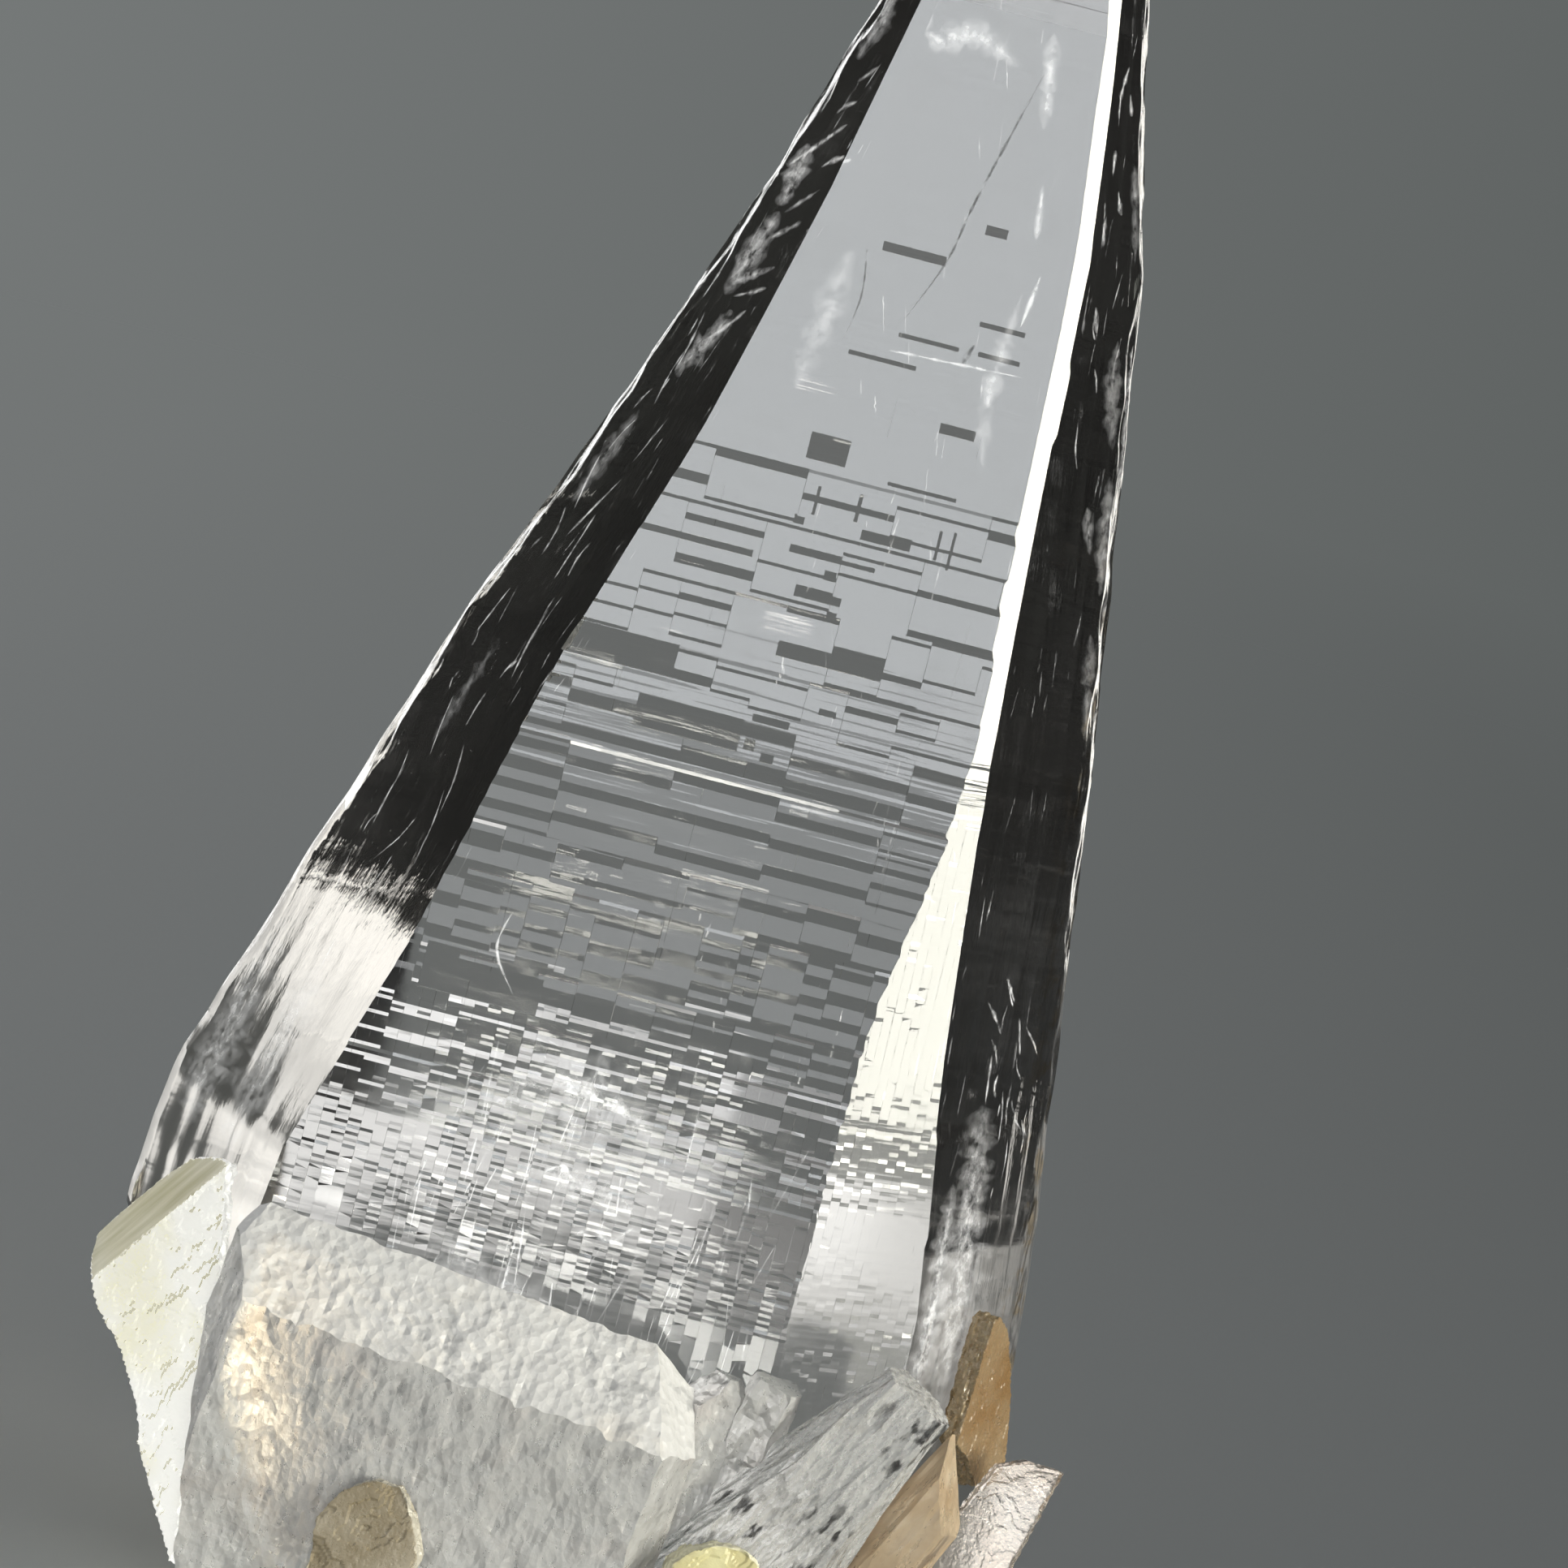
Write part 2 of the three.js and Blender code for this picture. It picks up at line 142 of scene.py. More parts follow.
def growthFaceTree():
    sizes = {
        "Azimuth": -90.0, "Lean": 0.0, "Apex": 0.0, "From": -30.0, "To": 30.0, "Start": 0.0, "Height": 156.0,
        "Reach Across": 60.0, "Reach Down": 0.0, "Reach Up": 0.0, "Inside": 60.0, "Foot": 25.0,
        "Row Height": 0.3, "Strip Width": 1.3, "Strip Edge": 0.02, "Rhomb Slope": 0.2, "Step At Foot": 1.0,
        "Step At Tip": 6.0, "Step Spread": 0.2, "Step Relief": 1.0, "Band Height": 6.0, "Group Width": 6.0,
        "Smooth From": 400.0,
        "Spark Depth": 0.0, "Spark From": 18.0, "Spark To": 48.0, "Flute Depth": 0.0, "Flute To": 38.0,
        "Etch Depth": 0.0, "Etch Size": 2.0, "Etch Stretch": 1.0, "Seed": 1,
    }
    sizes.update({f"Offset at {height}": 20.0 for height in shoulders})
    tree, given, out = geometryTree("growth face", sizes)

    def m(operation, *values):
        return calc(tree, operation, *values)

    strips = m("CEIL", m("DIVIDE", m("SUBTRACT", given["To"], given["From"]), given["Strip Width"]))
    columns = m("MULTIPLY", strips, 2.0)
    rows = m("CEIL", m("DIVIDE", given["Height"], given["Row Height"]))
    box = addNode(tree, "GeometryNodeMeshCube", [(1, 1, 1), columns, 2, m("ADD", rows, 1.0)])
    unit = partsOf(tree, tree.nodes.new("GeometryNodeInputPosition").outputs[0])

    # columns stand in pairs a hair apart, so that a step between two strips is sharp
    lastColumn = m("SUBTRACT", columns, 1.0)
    column = m("ROUND", m("MULTIPLY", m("ADD", unit[0], 0.5), lastColumn))
    strip = m("FLOOR", m("DIVIDE", column, 2.0))
    side = m("MULTIPLY", m("MODULO", column, 2.0), m("SUBTRACT", 1.0, given["Strip Edge"]))
    across = m("MULTIPLY_ADD", m("ADD", strip, side), given["Strip Width"], given["From"])
    isFirst = m("LESS_THAN", column, 0.5)
    isLast = m("GREATER_THAN", column, m("SUBTRACT", lastColumn, 0.5))
    farAcross = m("MULTIPLY_ADD", m("SUBTRACT", isLast, isFirst), given["Reach Across"], across)
    row = m("ROUND", m("MULTIPLY", m("ADD", unit[2], 0.5), rows))
    height = m("MULTIPLY_ADD", row, given["Row Height"], given["Start"])
    farHeight = m("SUBTRACT", height, m("MULTIPLY", m("LESS_THAN", row, 0.5), given["Reach Down"]))
    isTop = m("GREATER_THAN", row, m("SUBTRACT", rows, 0.5))
    farHeight = m("MULTIPLY_ADD", isTop, given["Reach Up"], farHeight)

    # bands of uneven height, each split across into groups of strips
    def bandStart(band):
        uneven = m("ADD", band, pick(tree, 0.0, 0.6, band, given["Seed"]))
        start = m("MULTIPLY", uneven, given["Band Height"])
        return m("SNAP", start, given["Row Height"])

    nearBand = m("FLOOR", m("DIVIDE", height, given["Band Height"]))
    band = m("SUBTRACT", nearBand, m("LESS_THAN", height, m("SUBTRACT", bandStart(nearBand), 0.001)))
    start = bandStart(band)
    end = bandStart(m("ADD", band, 1.0))
    spread = m("MULTIPLY", given["Group Width"], pick(tree, 0.5, 1.8, m("ADD", band, 100.0), given["Seed"]))
    shift = pick(tree, 0.0, 1.0, m("ADD", band, 200.0), given["Seed"])
    group = m("FLOOR", m("ADD", m("DIVIDE", m("MULTIPLY", strip, given["Strip Width"]), spread), shift))
    cell = m("MULTIPLY_ADD", band, 97.0, group)

    # the steps in one cell: steep rhomb treads and upright prism treads by turns, which keep the face's taper
    profile = profileTree()
    offsets = [given[f"Offset at {h}"] for h in shoulders]

    def offsetAt(level):
        return addNode(tree, "GeometryNodeGroup", [level, *offsets], node_tree=profile).outputs[0]

    foot = offsetAt(start)
    slope = m("DIVIDE", m("SUBTRACT", foot, offsetAt(end)), m("SUBTRACT", end, start))
    share = m("DIVIDE", slope, given["Rhomb Slope"])
    stray = pick(tree, -1.0, 1.0, m("ADD", cell, 31.0), given["Seed"])
    room = m("MULTIPLY", m("MULTIPLY", share, m("SUBTRACT", 1.0, share)), 4.0)
    share = m("MULTIPLY_ADD", m("MULTIPLY", stray, given["Step Spread"]), room, share)
    rise = m("DIVIDE", given["Step At Tip"], given["Step At Foot"])
    cycle = m("MULTIPLY", m("POWER", rise, m("DIVIDE", start, given["Height"])), given["Step At Foot"])
    cycle = m("MULTIPLY", cycle, pick(tree, 0.6, 1.7, m("ADD", cell, 57.0), given["Seed"]))
    beat = m("ADD", m("DIVIDE", height, cycle), pick(tree, 0.0, 1.0, m("ADD", cell, 83.0), given["Seed"]))
    isRhomb = m("LESS_THAN", m("FRACT", beat), share)
    stepped = m("MULTIPLY", isRhomb, given["Rhomb Slope"])
    isAbove = m("GREATER_THAN", start, given["Foot"])
    isBelow = m("LESS_THAN", start, given["Smooth From"])
    isStepped = m("MULTIPLY", m("MULTIPLY", isAbove, isBelow), given["Step Relief"])
    rowSlope = m("MULTIPLY_ADD", isStepped, m("SUBTRACT", stepped, slope), slope)
    outer = m("LESS_THAN", unit[1], 0.0)
    stack = m("MULTIPLY_ADD", column, 400.0, m("MULTIPLY_ADD", outer, 200.0, m("ADD", band, 2.0)))
    fall = m("MULTIPLY", rowSlope, given["Row Height"])
    fallen = addNode(tree, "GeometryNodeAccumulateField", [fall, stack])
    offset = m("SUBTRACT", foot, fallen.outputs["Trailing"])

    # near the foot the small steps lie every way and sparkle
    above = m("MAXIMUM", m("DIVIDE", m("SUBTRACT", height, given["Spark To"]), 9.0), 0.0)
    calm = m("SUBTRACT", 1.0, m("SMOOTH_MIN", above, 1.0, 0.1))
    fade = m("MULTIPLY", m("GREATER_THAN", height, given["Spark From"]), calm)
    patch = m("FLOOR", m("ADD", m("DIVIDE", row, 2.0), pick(tree, 0.0, 9.0, strip, given["Seed"])))
    spark = pick(tree, -1.0, 1.0, m("MULTIPLY_ADD", strip, 1000.0, patch), given["Seed"])
    field = vectorOf(tree, across, height, given["Azimuth"])
    drift = texture(tree, "Noise", field, Scale=0.12, Detail=2.0)
    fade = m("MULTIPLY", fade, ramp(tree, drift.outputs[0], 0.35, 0.62, 0.12, 1.0))
    offset = m("MULTIPLY_ADD", m("MULTIPLY", spark, fade), given["Spark Depth"], offset)

    # below them are upright flutes
    run = m("FLOOR", m("ADD", m("DIVIDE", row, 17.0), pick(tree, 0.0, 3.0, column, given["Seed"])))
    flute = pick(tree, -1.0, 1.0, m("MULTIPLY_ADD", column, 60.0, run), given["Seed"])
    below = ramp(tree, height, m("SUBTRACT", given["Flute To"], 6.0), given["Flute To"], 1.0, 0.0)
    offset = m("MULTIPLY_ADD", m("MULTIPLY", flute, below), given["Flute Depth"], offset)

    # etching roughens the outside
    spot = vectorOf(tree, across, m("DIVIDE", height, given["Etch Stretch"]), given["Azimuth"])
    pits = texture(tree, "Voronoi", spot, Scale=m("DIVIDE", 1.0, given["Etch Size"]))
    pits.feature = "SMOOTH_F1"
    ripple = texture(tree, "Noise", spot, Scale=m("DIVIDE", 0.8, given["Etch Size"]))
    rough = m("SUBTRACT", m("ADD", pits.outputs["Distance"], ripple.outputs[0]), 0.9)
    offset = m("MULTIPLY_ADD", rough, given["Etch Depth"], offset)

    outward = m("ADD", offset, given["Inside"])
    y = m("SUBTRACT", given["Inside"], m("MULTIPLY", outer, outward))
    moved = addNode(tree, "GeometryNodeSetPosition", {
        "Geometry": box.outputs[0], "Position": vectorOf(tree, farAcross, y, farHeight)})
    leaned = addNode(tree, "GeometryNodeTransform", {
        "Geometry": moved.outputs[0], "Rotation": vectorOf(tree, m("RADIANS", given["Lean"]))})
    turn = vectorOf(tree, 0.0, 0.0, m("RADIANS", m("ADD", given["Azimuth"], 90.0)))
    lift = vectorOf(tree, 0.0, 0.0, given["Apex"])
    turned = addNode(tree, "GeometryNodeTransform", {
        "Geometry": leaned.outputs[0], "Translation": lift, "Rotation": turn})
    tree.links.new(turned.outputs[0], out[0])
    return tree


finishes = ["clear", "side", "frosted", "scaly", "etched", "tan", "cut"]


def markFinish(tree, geometry, finish):
    # a number on each face outlasts the joining of the solids, and picks the material afterwards
    return addNode(tree, "GeometryNodeStoreNamedAttribute", {
        "Geometry": geometry, "Name": "finish", "Value": finishes.index(finish)},
        data_type="INT", domain="FACE").outputs[0]


def setMaterials(tree, geometry, materials):
    number = addNode(tree, "GeometryNodeInputNamedAttribute", {"Name": "finish"}, data_type="INT").outputs[0]
    for finish, material in materials.items():
        isFinish = calc(tree, "COMPARE", number, float(finishes.index(finish)), 0.1)
        geometry = addNode(tree, "GeometryNodeSetMaterial", {
            "Geometry": geometry, "Selection": isFinish, "Material": material}).outputs[0]
    return geometry


def joinSolids(tree, operation, solids):
    node = addNode(tree, "GeometryNodeMeshBoolean", operation=operation, solver="MANIFOLD")
    for solid in solids:
        tree.links.new(solid, node.inputs["Mesh 2"])
    return node.outputs["Mesh"]


def crystalSolid(tree, faceTree, crystal):
    # the space that all the growth faces of one crystal have in common
    slabs = []
    for face in crystal["faces"]:
        values = dict(crystal["grain"])
        values.update({f"Offset at {h}": float(offset) for h, offset in zip(shoulders, face["offsets"])})
        values.update(face["sizes"])
        slab = addNode(tree, "GeometryNodeGroup", values, node_tree=faceTree).outputs[0]
        slabs.append(markFinish(tree, slab, face["finish"]))
    solid = joinSolids(tree, "INTERSECT", slabs)
    turn = [math.radians(angle) for angle in crystal["turn"]]
    placed = addNode(tree, "GeometryNodeTransform", {
        "Geometry": solid, "Translation": crystal["at"], "Rotation": turn})
    return placed.outputs[0]


tipAngle = 38.2  # between the small faces of a tip and the crystal's length


def capFaces(apexes, azimuths, finish, sizes):
    return [
        {"offsets": [0.0] * len(shoulders), "finish": finish,
         "sizes": {"Azimuth": float(azimuth), "Lean": -tipAngle, "Apex": float(apex),
                   "Inside": 220.0, **sizes}}
        for apex, azimuth in zip(apexes, azimuths)
    ]


# the dark side faces carry streaks and no steps
sideGrain = {"Row Height": 0.9, "Foot": 400.0, "Strip Edge": 0.5}
# the clear main crystal: how far each face lies from the axis at the shoulders, and how its steps run
mainCrystal = {
    "at": (0, 0, 0),
    "turn": (0, 0, 0),
    "grain": {"Row Height": 0.3, "Foot": 25.0},
    "faces": [
        {"offsets": [25, 28.6, 33.6, 38.3, 37.8, 31.6, 26.4, 19.4, 13.4, 9.2, 3.9, 3.2], "finish": "side",
         "sizes": {"Azimuth": -150.0, "From": -26.0, "To": 9.0, "Strip Width": 1.0, **sideGrain,
                   "Etch Depth": 0.16, "Etch Size": 2.2, "Etch Stretch": 9.0, "Seed": 11}},
        {"offsets": [17.5, 19.5, 19.4, 19.3, 18.9, 17.6, 15.1, 11.8, 8, 5, 2.4, 2], "finish": "clear",
         "sizes": {"Azimuth": -90.0, "From": -35.0, "To": 13.0, "Rhomb Slope": 0.2, "Strip Width": 1.0,
                   "Row Height": 0.25, "Foot": 36.0, "Step At Foot": 0.8, "Step At Tip": 5.0,
                   "Band Height": 5.0, "Group Width": 5.0, "Smooth From": 99.0,
                   "Spark Depth": 0.055, "Spark From": 33.0, "Spark To": 45.0,
                   "Flute Depth": 0.1, "Flute To": 40.0, "Seed": 5}},
        {"offsets": [18.1, 20.7, 20.6, 20.5, 20.05, 19.05, 18.15, 14.7, 11.05, 7.5, 3.46, 2.8],
         "finish": "clear",
         "sizes": {"Azimuth": -60.0, "From": -6.0, "To": 10.0, "Strip Width": 0.8, "Foot": 400.0,
                   "Spark Depth": 0.02, "Spark To": 66.0, "Seed": 24}},
        {"offsets": [19.5, 21.8, 21.8, 21.7, 21.2, 18.8, 17.1, 14.4, 11.8, 8.6, 4, 3.3], "finish": "side",
         "sizes": {"Azimuth": -30.0, "From": -9.0, "To": 18.0, "Strip Width": 0.9, **sideGrain,
                   "Etch Depth": 0.14, "Etch Size": 1.8, "Etch Stretch": 12.0, "Seed": 31}},
        {"offsets": [22, 24.2, 24.1, 23.9, 23.2, 20.9, 17.7, 15.2, 12.5, 9, 4.3, 3.5], "finish": "clear",
         "sizes": {"Azimuth": 30.0, "From": -14.0, "To": 14.0, "Rhomb Slope": 0.26, "Strip Width": 1.0,
                   "Step Relief": 0.12, "Step At Foot": 2.0, "Step At Tip": 9.0, "Band Height": 9.0,
                   "Group Width": 5.0, "Seed": 43}},
        {"offsets": [18, 20.2, 20.2, 20.1, 19.7, 18.6, 16.2, 12.6, 8.7, 5.4, 2.8, 2.2], "finish": "clear",
         "sizes": {"Azimuth": 90.0, "From": -19.0, "To": 37.0, "Rhomb Slope": 0.2, "Strip Width": 1.4,
                   "Foot": 14.0, "Step Relief": 0.1, "Step At Foot": 2.0, "Step At Tip": 8.0,
                   "Band Height": 8.0, "Group Width": 9.0, "Seed": 57}},
        {"offsets": [29, 32.5, 36, 39.7, 39.2, 33.2, 26.7, 20.4, 14.3, 9.8, 4.1, 3.4], "finish": "side",
         "sizes": {"Azimuth": 150.0, "From": -7.0, "To": 26.0, "Strip Width": 1.2, **sideGrain,
                   "Etch Depth": 0.18, "Etch Size": 2.4, "Etch Stretch": 8.0, "Seed": 61}},
    ] + capFaces([156] * 3 + [157.2] * 3, [-150, -30, 90, -90, 30, 150], "clear", {
        "Start": -170.0, "Height": 200.0, "Row Height": 10.0, "From": -60.0, "To": 60.0, "Strip Width": 20.0,
        "Reach Across": 0.0, "Foot": 60.0}),
}


def edgeFace(before, after, azimuth, depth, sizes):
    # a narrow face that takes off the edge between two others, 15 degrees from the first one's side
    nearEdge = 0.5577  # cos 15 / (2 cos 30)
    offCentre = 0.2588  # sin 15 / (2 sin 30)
    offsets = [nearEdge * (a + b) - offCentre * (b - a) - depth
               for a, b in zip(before["offsets"], after["offsets"])]
    return {"offsets": offsets, "finish": "side", "sizes": {"Azimuth": azimuth, **sizes}}


mainFaces = mainCrystal["faces"]
rimGrain = {"From": -9.0, "To": 9.0, "Strip Width": 0.7, "Row Height": 0.6, "Foot": 400.0, "Strip Edge": 0.5,
            "Etch Depth": 0.55, "Etch Size": 1.6, "Etch Stretch": 3.0}
mainFaces.insert(7, edgeFace(mainFaces[0], mainFaces[6], -165.0, 0.55, rimGrain))
mainFaces.insert(8, edgeFace(mainFaces[3], mainFaces[4], -15.0, 0.5, rimGrain))

# The largest steps let into the front face, each from left to right and from foot to top, in millimetres.
frontSteps = {
    "square notch": (-7.5, -4.5, 96.5, 98.5),
    "upper left ledge": (-17.5, -9.5, 88.5, 89.0),
    "left block": (-21.5, -13.0, 78.5, 81.0),
    "block inside it": (-15.0, -7.0, 74.5, 77.0),
    "middle block": (-6.0, 2.0, 82.0, 83.5),
    "right ledge": (5.0, 9.0, 69.5, 70.5),
    "low left ledge": (-25.0, -16.0, 60.5, 62.0),
    "low left block": (-25.5, -16.5, 52.0, 56.0),
}
# The small ones between them follow a fixed seed.
smallSteps = {
    "seed": 31,
    "gap": 0.3,
    "kinds": {
        "ledge": {"count": 14, "across": (-8.0, 3.0), "up": (72.0, 116.0),
                       "width": (1.5, 7.0), "height": (0.25, 0.9)},
        "square": {"count": 6, "across": (-8.0, 0.0), "up": (74.0, 92.0),
                        "width": (0.7, 1.5), "height": (0.6, 0.9)},
        "slit": {"count": 4, "across": (-8.0, 6.0), "up": (88.0, 100.0),
                      "width": (0.2, 0.3), "height": (1.4, 3.2)},
    },
}


def standApart(one, other, gap):
    beside = one[1] + gap < other[0] or other[1] + gap < one[0]
    return beside or one[3] + gap < other[2] or other[3] + gap < one[2]


def scatterSteps(marks, small):
    # adds small steps that stand clear of the ones already there
    chance = random.Random(small["seed"])
    for kind in small["kinds"].values():
        wanted = len(marks) + kind["count"]
        while len(marks) < wanted:
            left = chance.uniform(*kind["across"])
            low = chance.uniform(*kind["up"])
            mark = (left, left + chance.uniform(*kind["width"]), low, low + chance.uniform(*kind["height"]))
            if all(standApart(mark, other, small["gap"]) for other in marks):
                marks.append(mark)
    return marks


frontMarks = scatterSteps(list(frontSteps.values()), smallSteps)


markThickness = 4.0  # of the block that is taken out, half of it outside the face


def markPlaces(marks, profile):
    # a point and a size for each mark, flush with the face at its top edge
    mesh = bpy.data.meshes.new("mark_places")
    middles = []
    sizes = []
    for left, right, low, high in marks:
        back = -heightProfile(profile, high)
        middles.append(((left + right) / 2, back - markThickness / 2, (low + high) / 2))
        sizes.extend((right - left, markThickness, high - low))
    mesh.from_pydata(middles, [], [])
    mesh.attributes.new("size", "FLOAT_VECTOR", "POINT").data.foreach_set("vector", sizes)
    return mesh


def markedFace(tree, solid, places):
    # small blocks sunk in the face
    size = addNode(tree, "GeometryNodeInputNamedAttribute", {"Name": "size"}, data_type="FLOAT_VECTOR")
    block = addNode(tree, "GeometryNodeMeshCube", [(1, 1, 1), 2, 2, 2])
    blocks = addNode(tree, "GeometryNodeInstanceOnPoints", {
        "Points": places, "Instance": block.outputs[0], "Scale": size.outputs[0]})
    real = addNode(tree, "GeometryNodeRealizeInstances", [blocks.outputs[0]])
    return addNode(tree, "GeometryNodeMeshBoolean", {
        "Mesh 1": solid, "Mesh 2": markFinish(tree, real.outputs[0], "clear")},
        operation="DIFFERENCE", solver="MANIFOLD").outputs["Mesh"]


def heightProfile(offsets, height):
    for i in range(len(shoulders) - 1):
        if height <= shoulders[i + 1]:
            share = (height - shoulders[i]) / (shoulders[i + 1] - shoulders[i])
            return offsets[i] + (offsets[i + 1] - offsets[i]) * share
    return offsets[-1]


# The crystals grown into its foot. Faces and caps run anticlockwise from the left front face, and etching has
# a depth, a size and how far it is drawn out along the crystal.
sixAzimuths = [-150, -90, -30, 30, 90, 150]
sideCrystals = [
    {"name": "frosted", "at": (-18.3, -12, 0), "turn": (0, 6, 0), "taper": 0.4, "length": 60,
     "offsets": [22, 15.5, 22, 10.8, 2, 10.8], "caps": [58, 45.9, 54, 56, 19.7, 60],
     "faceFinish": "scaly", "capFinish": "frosted",
     "break": {"Azimuth": 180.0, "Lean": 14.0, "offset": 12.5},
     "etch": (0.5, 1.7, 1.3), "capEtch": (0.4, 1.1, 1.0)},
    {"name": "etched", "at": (-0.8, -15, 0), "turn": (8, 30, 0), "taper": 9.5, "length": 38,
     "offsets": [9.8, 9, 9.8, 8, 6, 8], "caps": [43, 42, 43, 43, 44, 42.5],
     "faceFinish": "etched", "capFinish": "etched",
     "etch": (0.7, 0.9, 5.0), "capEtch": (0.4, 0.9, 1.0)},
    {"name": "thin", "at": (10.4, -14.5, 0), "turn": (6, 25, 0), "taper": 2, "length": 40,
     "offsets": [3.4, 3.4, 3.4, 3.2, 3.2, 3.2], "caps": [34, 32, 28.5, 29, 34, 35],
     "faceFinish": "tan", "capFinish": "tan",
     "etch": (0.25, 0.9, 4.0), "capEtch": (0.2, 0.8, 1.0)},
    {"name": "hollow left", "at": (0.6, -17, 0), "turn": (4, 5, 12), "taper": 5, "length": 30,
     "offsets": [5, 5, 5, 4.6, 4.6, 4.6], "caps": [31, 32.5, 32, 32, 32, 31],
     "faceFinish": "scaly", "capFinish": "scaly",
     "etch": (0.6, 1.3, 1.5), "capEtch": (0.5, 1.2, 1.0)},
    {"name": "hollow right", "at": (2.4, -15.5, 0), "turn": (5, 12, -14), "taper": 6, "length": 31,
     "offsets": [5.2, 4.8, 5, 4.6, 4.6, 4.8], "caps": [34, 33.5, 34.5, 35, 34, 34],
     "faceFinish": "scaly", "capFinish": "etched",
     "etch": (0.6, 1.2, 1.5), "capEtch": (0.5, 1.2, 1.0)},
]


def plainCrystal(side):
    # the growth faces of a side crystal, from its six offsets and its taper
    etch, capEtch = (dict(zip(("Etch Depth", "Etch Size", "Etch Stretch"), side[kind]))
                     for kind in ("etch", "capEtch"))
    inset = math.tan(math.radians(side["taper"]))
    sine = math.sin(math.radians(60))
    faces = []
    for i, azimuth in enumerate(sixAzimuths):
        own = side["offsets"][i]
        before = side["offsets"][i - 1]
        after = side["offsets"][(i + 1) % 6]
        reach = {"From": -(before - own / 2) / sine - 2, "To": (after - own / 2) / sine + 2}
        faces.append({
            "offsets": [max(0.6, own - inset * h) for h in shoulders], "finish": side["faceFinish"],
            "sizes": {"Azimuth": float(azimuth), **reach, **etch, "Seed": 70 + i}})
    caps = capFaces(side["caps"], sixAzimuths, side["capFinish"], {
        "Start": -24.0, "Height": 24.0, "From": -20.0, "To": 20.0, "Reach Down": 150.0, "Reach Up": 20.0,
        **capEtch})
    if "break" in side:
        flat = side["break"]
        faces.append({
            "offsets": [flat["offset"]] * len(shoulders), "finish": side["faceFinish"],
            "sizes": {"Azimuth": flat["Azimuth"], "Lean": flat["Lean"], "From": -16.0, "To": 16.0,
                      "Inside": 120.0, **etch}})
    grain = {"Row Height": 0.5, "Strip Width": 1.0, "Strip Edge": 0.5, "Height": float(side["length"]),
             "Foot": 400.0, "Reach Down": 12.0, "Reach Up": 0.0}
    return {"at": side["at"], "turn": side["turn"], "grain": grain, "faces": faces + caps}


def quartzTree(materials):
    # every crystal, grown together and cut off flat at the foot
    tree, given, out = geometryTree("quartz crystals", {}, takesGeometry=True)
    faceTree = growthFaceTree()
    crystals = [mainCrystal] + [plainCrystal(side) for side in sideCrystals]
    solids = [crystalSolid(tree, faceTree, crystal) for crystal in crystals]
    solids[0] = markedFace(tree, solids[0], given["Geometry"])
    joined = joinSolids(tree, "UNION", solids)
    above = addNode(tree, "GeometryNodeMeshCube", [(300, 300, 300), 2, 2, 2])
    raised = addNode(tree, "GeometryNodeTransform", {
        "Geometry": above.outputs[0], "Translation": (0, 0, 150)})
    cut = joinSolids(tree, "INTERSECT", [joined, markFinish(tree, raised.outputs[0], "cut")])
    scaled = addNode(tree, "GeometryNodeTransform", {"Geometry": cut, "Scale": (mm, mm, mm)})
    whole = addNode(tree, "GeometryNodeRealizeInstances", [scaled.outputs[0]])
    tree.links.new(setMaterials(tree, whole.outputs[0], materials), out[0])
    return tree


def meshFromTree(name, tree, base):
    # the tree's result as a plain mesh
    maker = addObject(name + "_maker", base)
    maker.modifiers.new("nodes", "NODES").node_group = tree
    graph = bpy.context.evaluated_depsgraph_get()
    mesh = bpy.data.meshes.new_from_object(maker.evaluated_get(graph))
    bpy.data.objects.remove(maker)
    mesh.name = name
    return addObject(name, mesh)


def keepLargestShell(bm):
    # joining leaves a few loose crumbs smaller than a grain of sand
    seen = set()
    shells = []
    for vert in bm.verts:
        if vert in seen:
            continue
        seen.add(vert)
        shell = []
        waiting = [vert]
        while waiting:
            current = waiting.pop()
            shell.append(current)
            for edge in current.link_edges:
                other = edge.other_vert(current)
                if other not in seen:
                    seen.add(other)
                    waiting.append(other)
        shells.append(shell)
    shells.sort(key=len)
    for shell in shells[:-1]:
        bmesh.ops.delete(bm, geom=shell, context="VERTS")


smoothFinishes = ["side quartz"]
# metres and radians: doubles closer than merge are joined, and edges straighter than straight run on as one
cleaning = {"merge": 0.000002, "passes": 6, "straight": 0.7, "sharp": 0.6}


def simplify(piece, flatness):
    # level facets become one face each, and so do the short runs of edge between them
    bm = bmesh.new()
    bm.from_mesh(piece.data)
    keepLargestShell(bm)
    bmesh.ops.remove_doubles(bm, verts=bm.verts, dist=cleaning["merge"])
    bmesh.ops.dissolve_limit(bm, angle_limit=math.radians(flatness), verts=bm.verts, edges=bm.edges,
                             delimit={"MATERIAL"})
    for attempt in range(cleaning["passes"]):
        loose = []
        for vert in bm.verts:
            if len(vert.link_edges) == 2:
                ends = [edge.other_vert(vert) for edge in vert.link_edges]
                bend = (ends[0].co - vert.co).angle(vert.co - ends[1].co, 0.0)
                if bend < cleaning["straight"] and not any(end in loose for end in ends):
                    loose.append(vert)
        if not loose:
            break
        bmesh.ops.dissolve_verts(bm, verts=loose)
    bmesh.ops.triangulate(bm, faces=bm.faces)
    smoothSlots = [i for i, material in enumerate(piece.data.materials) if material.name in smoothFinishes]
    for face in bm.faces:
        face.smooth = face.material_index in smoothSlots
    for edge in bm.edges:
        slots = {face.material_index for face in edge.link_faces}
        edge.smooth = len(slots) == 1 and edge.calc_face_angle(0.0) < cleaning["sharp"]
    pinched = [edge for edge in bm.edges if not edge.is_manifold]
    bm.to_mesh(piece.data)
    print(piece.name, "has", len(bm.faces), "faces,", len(pinched), "of its edges pinched")
    bm.free()


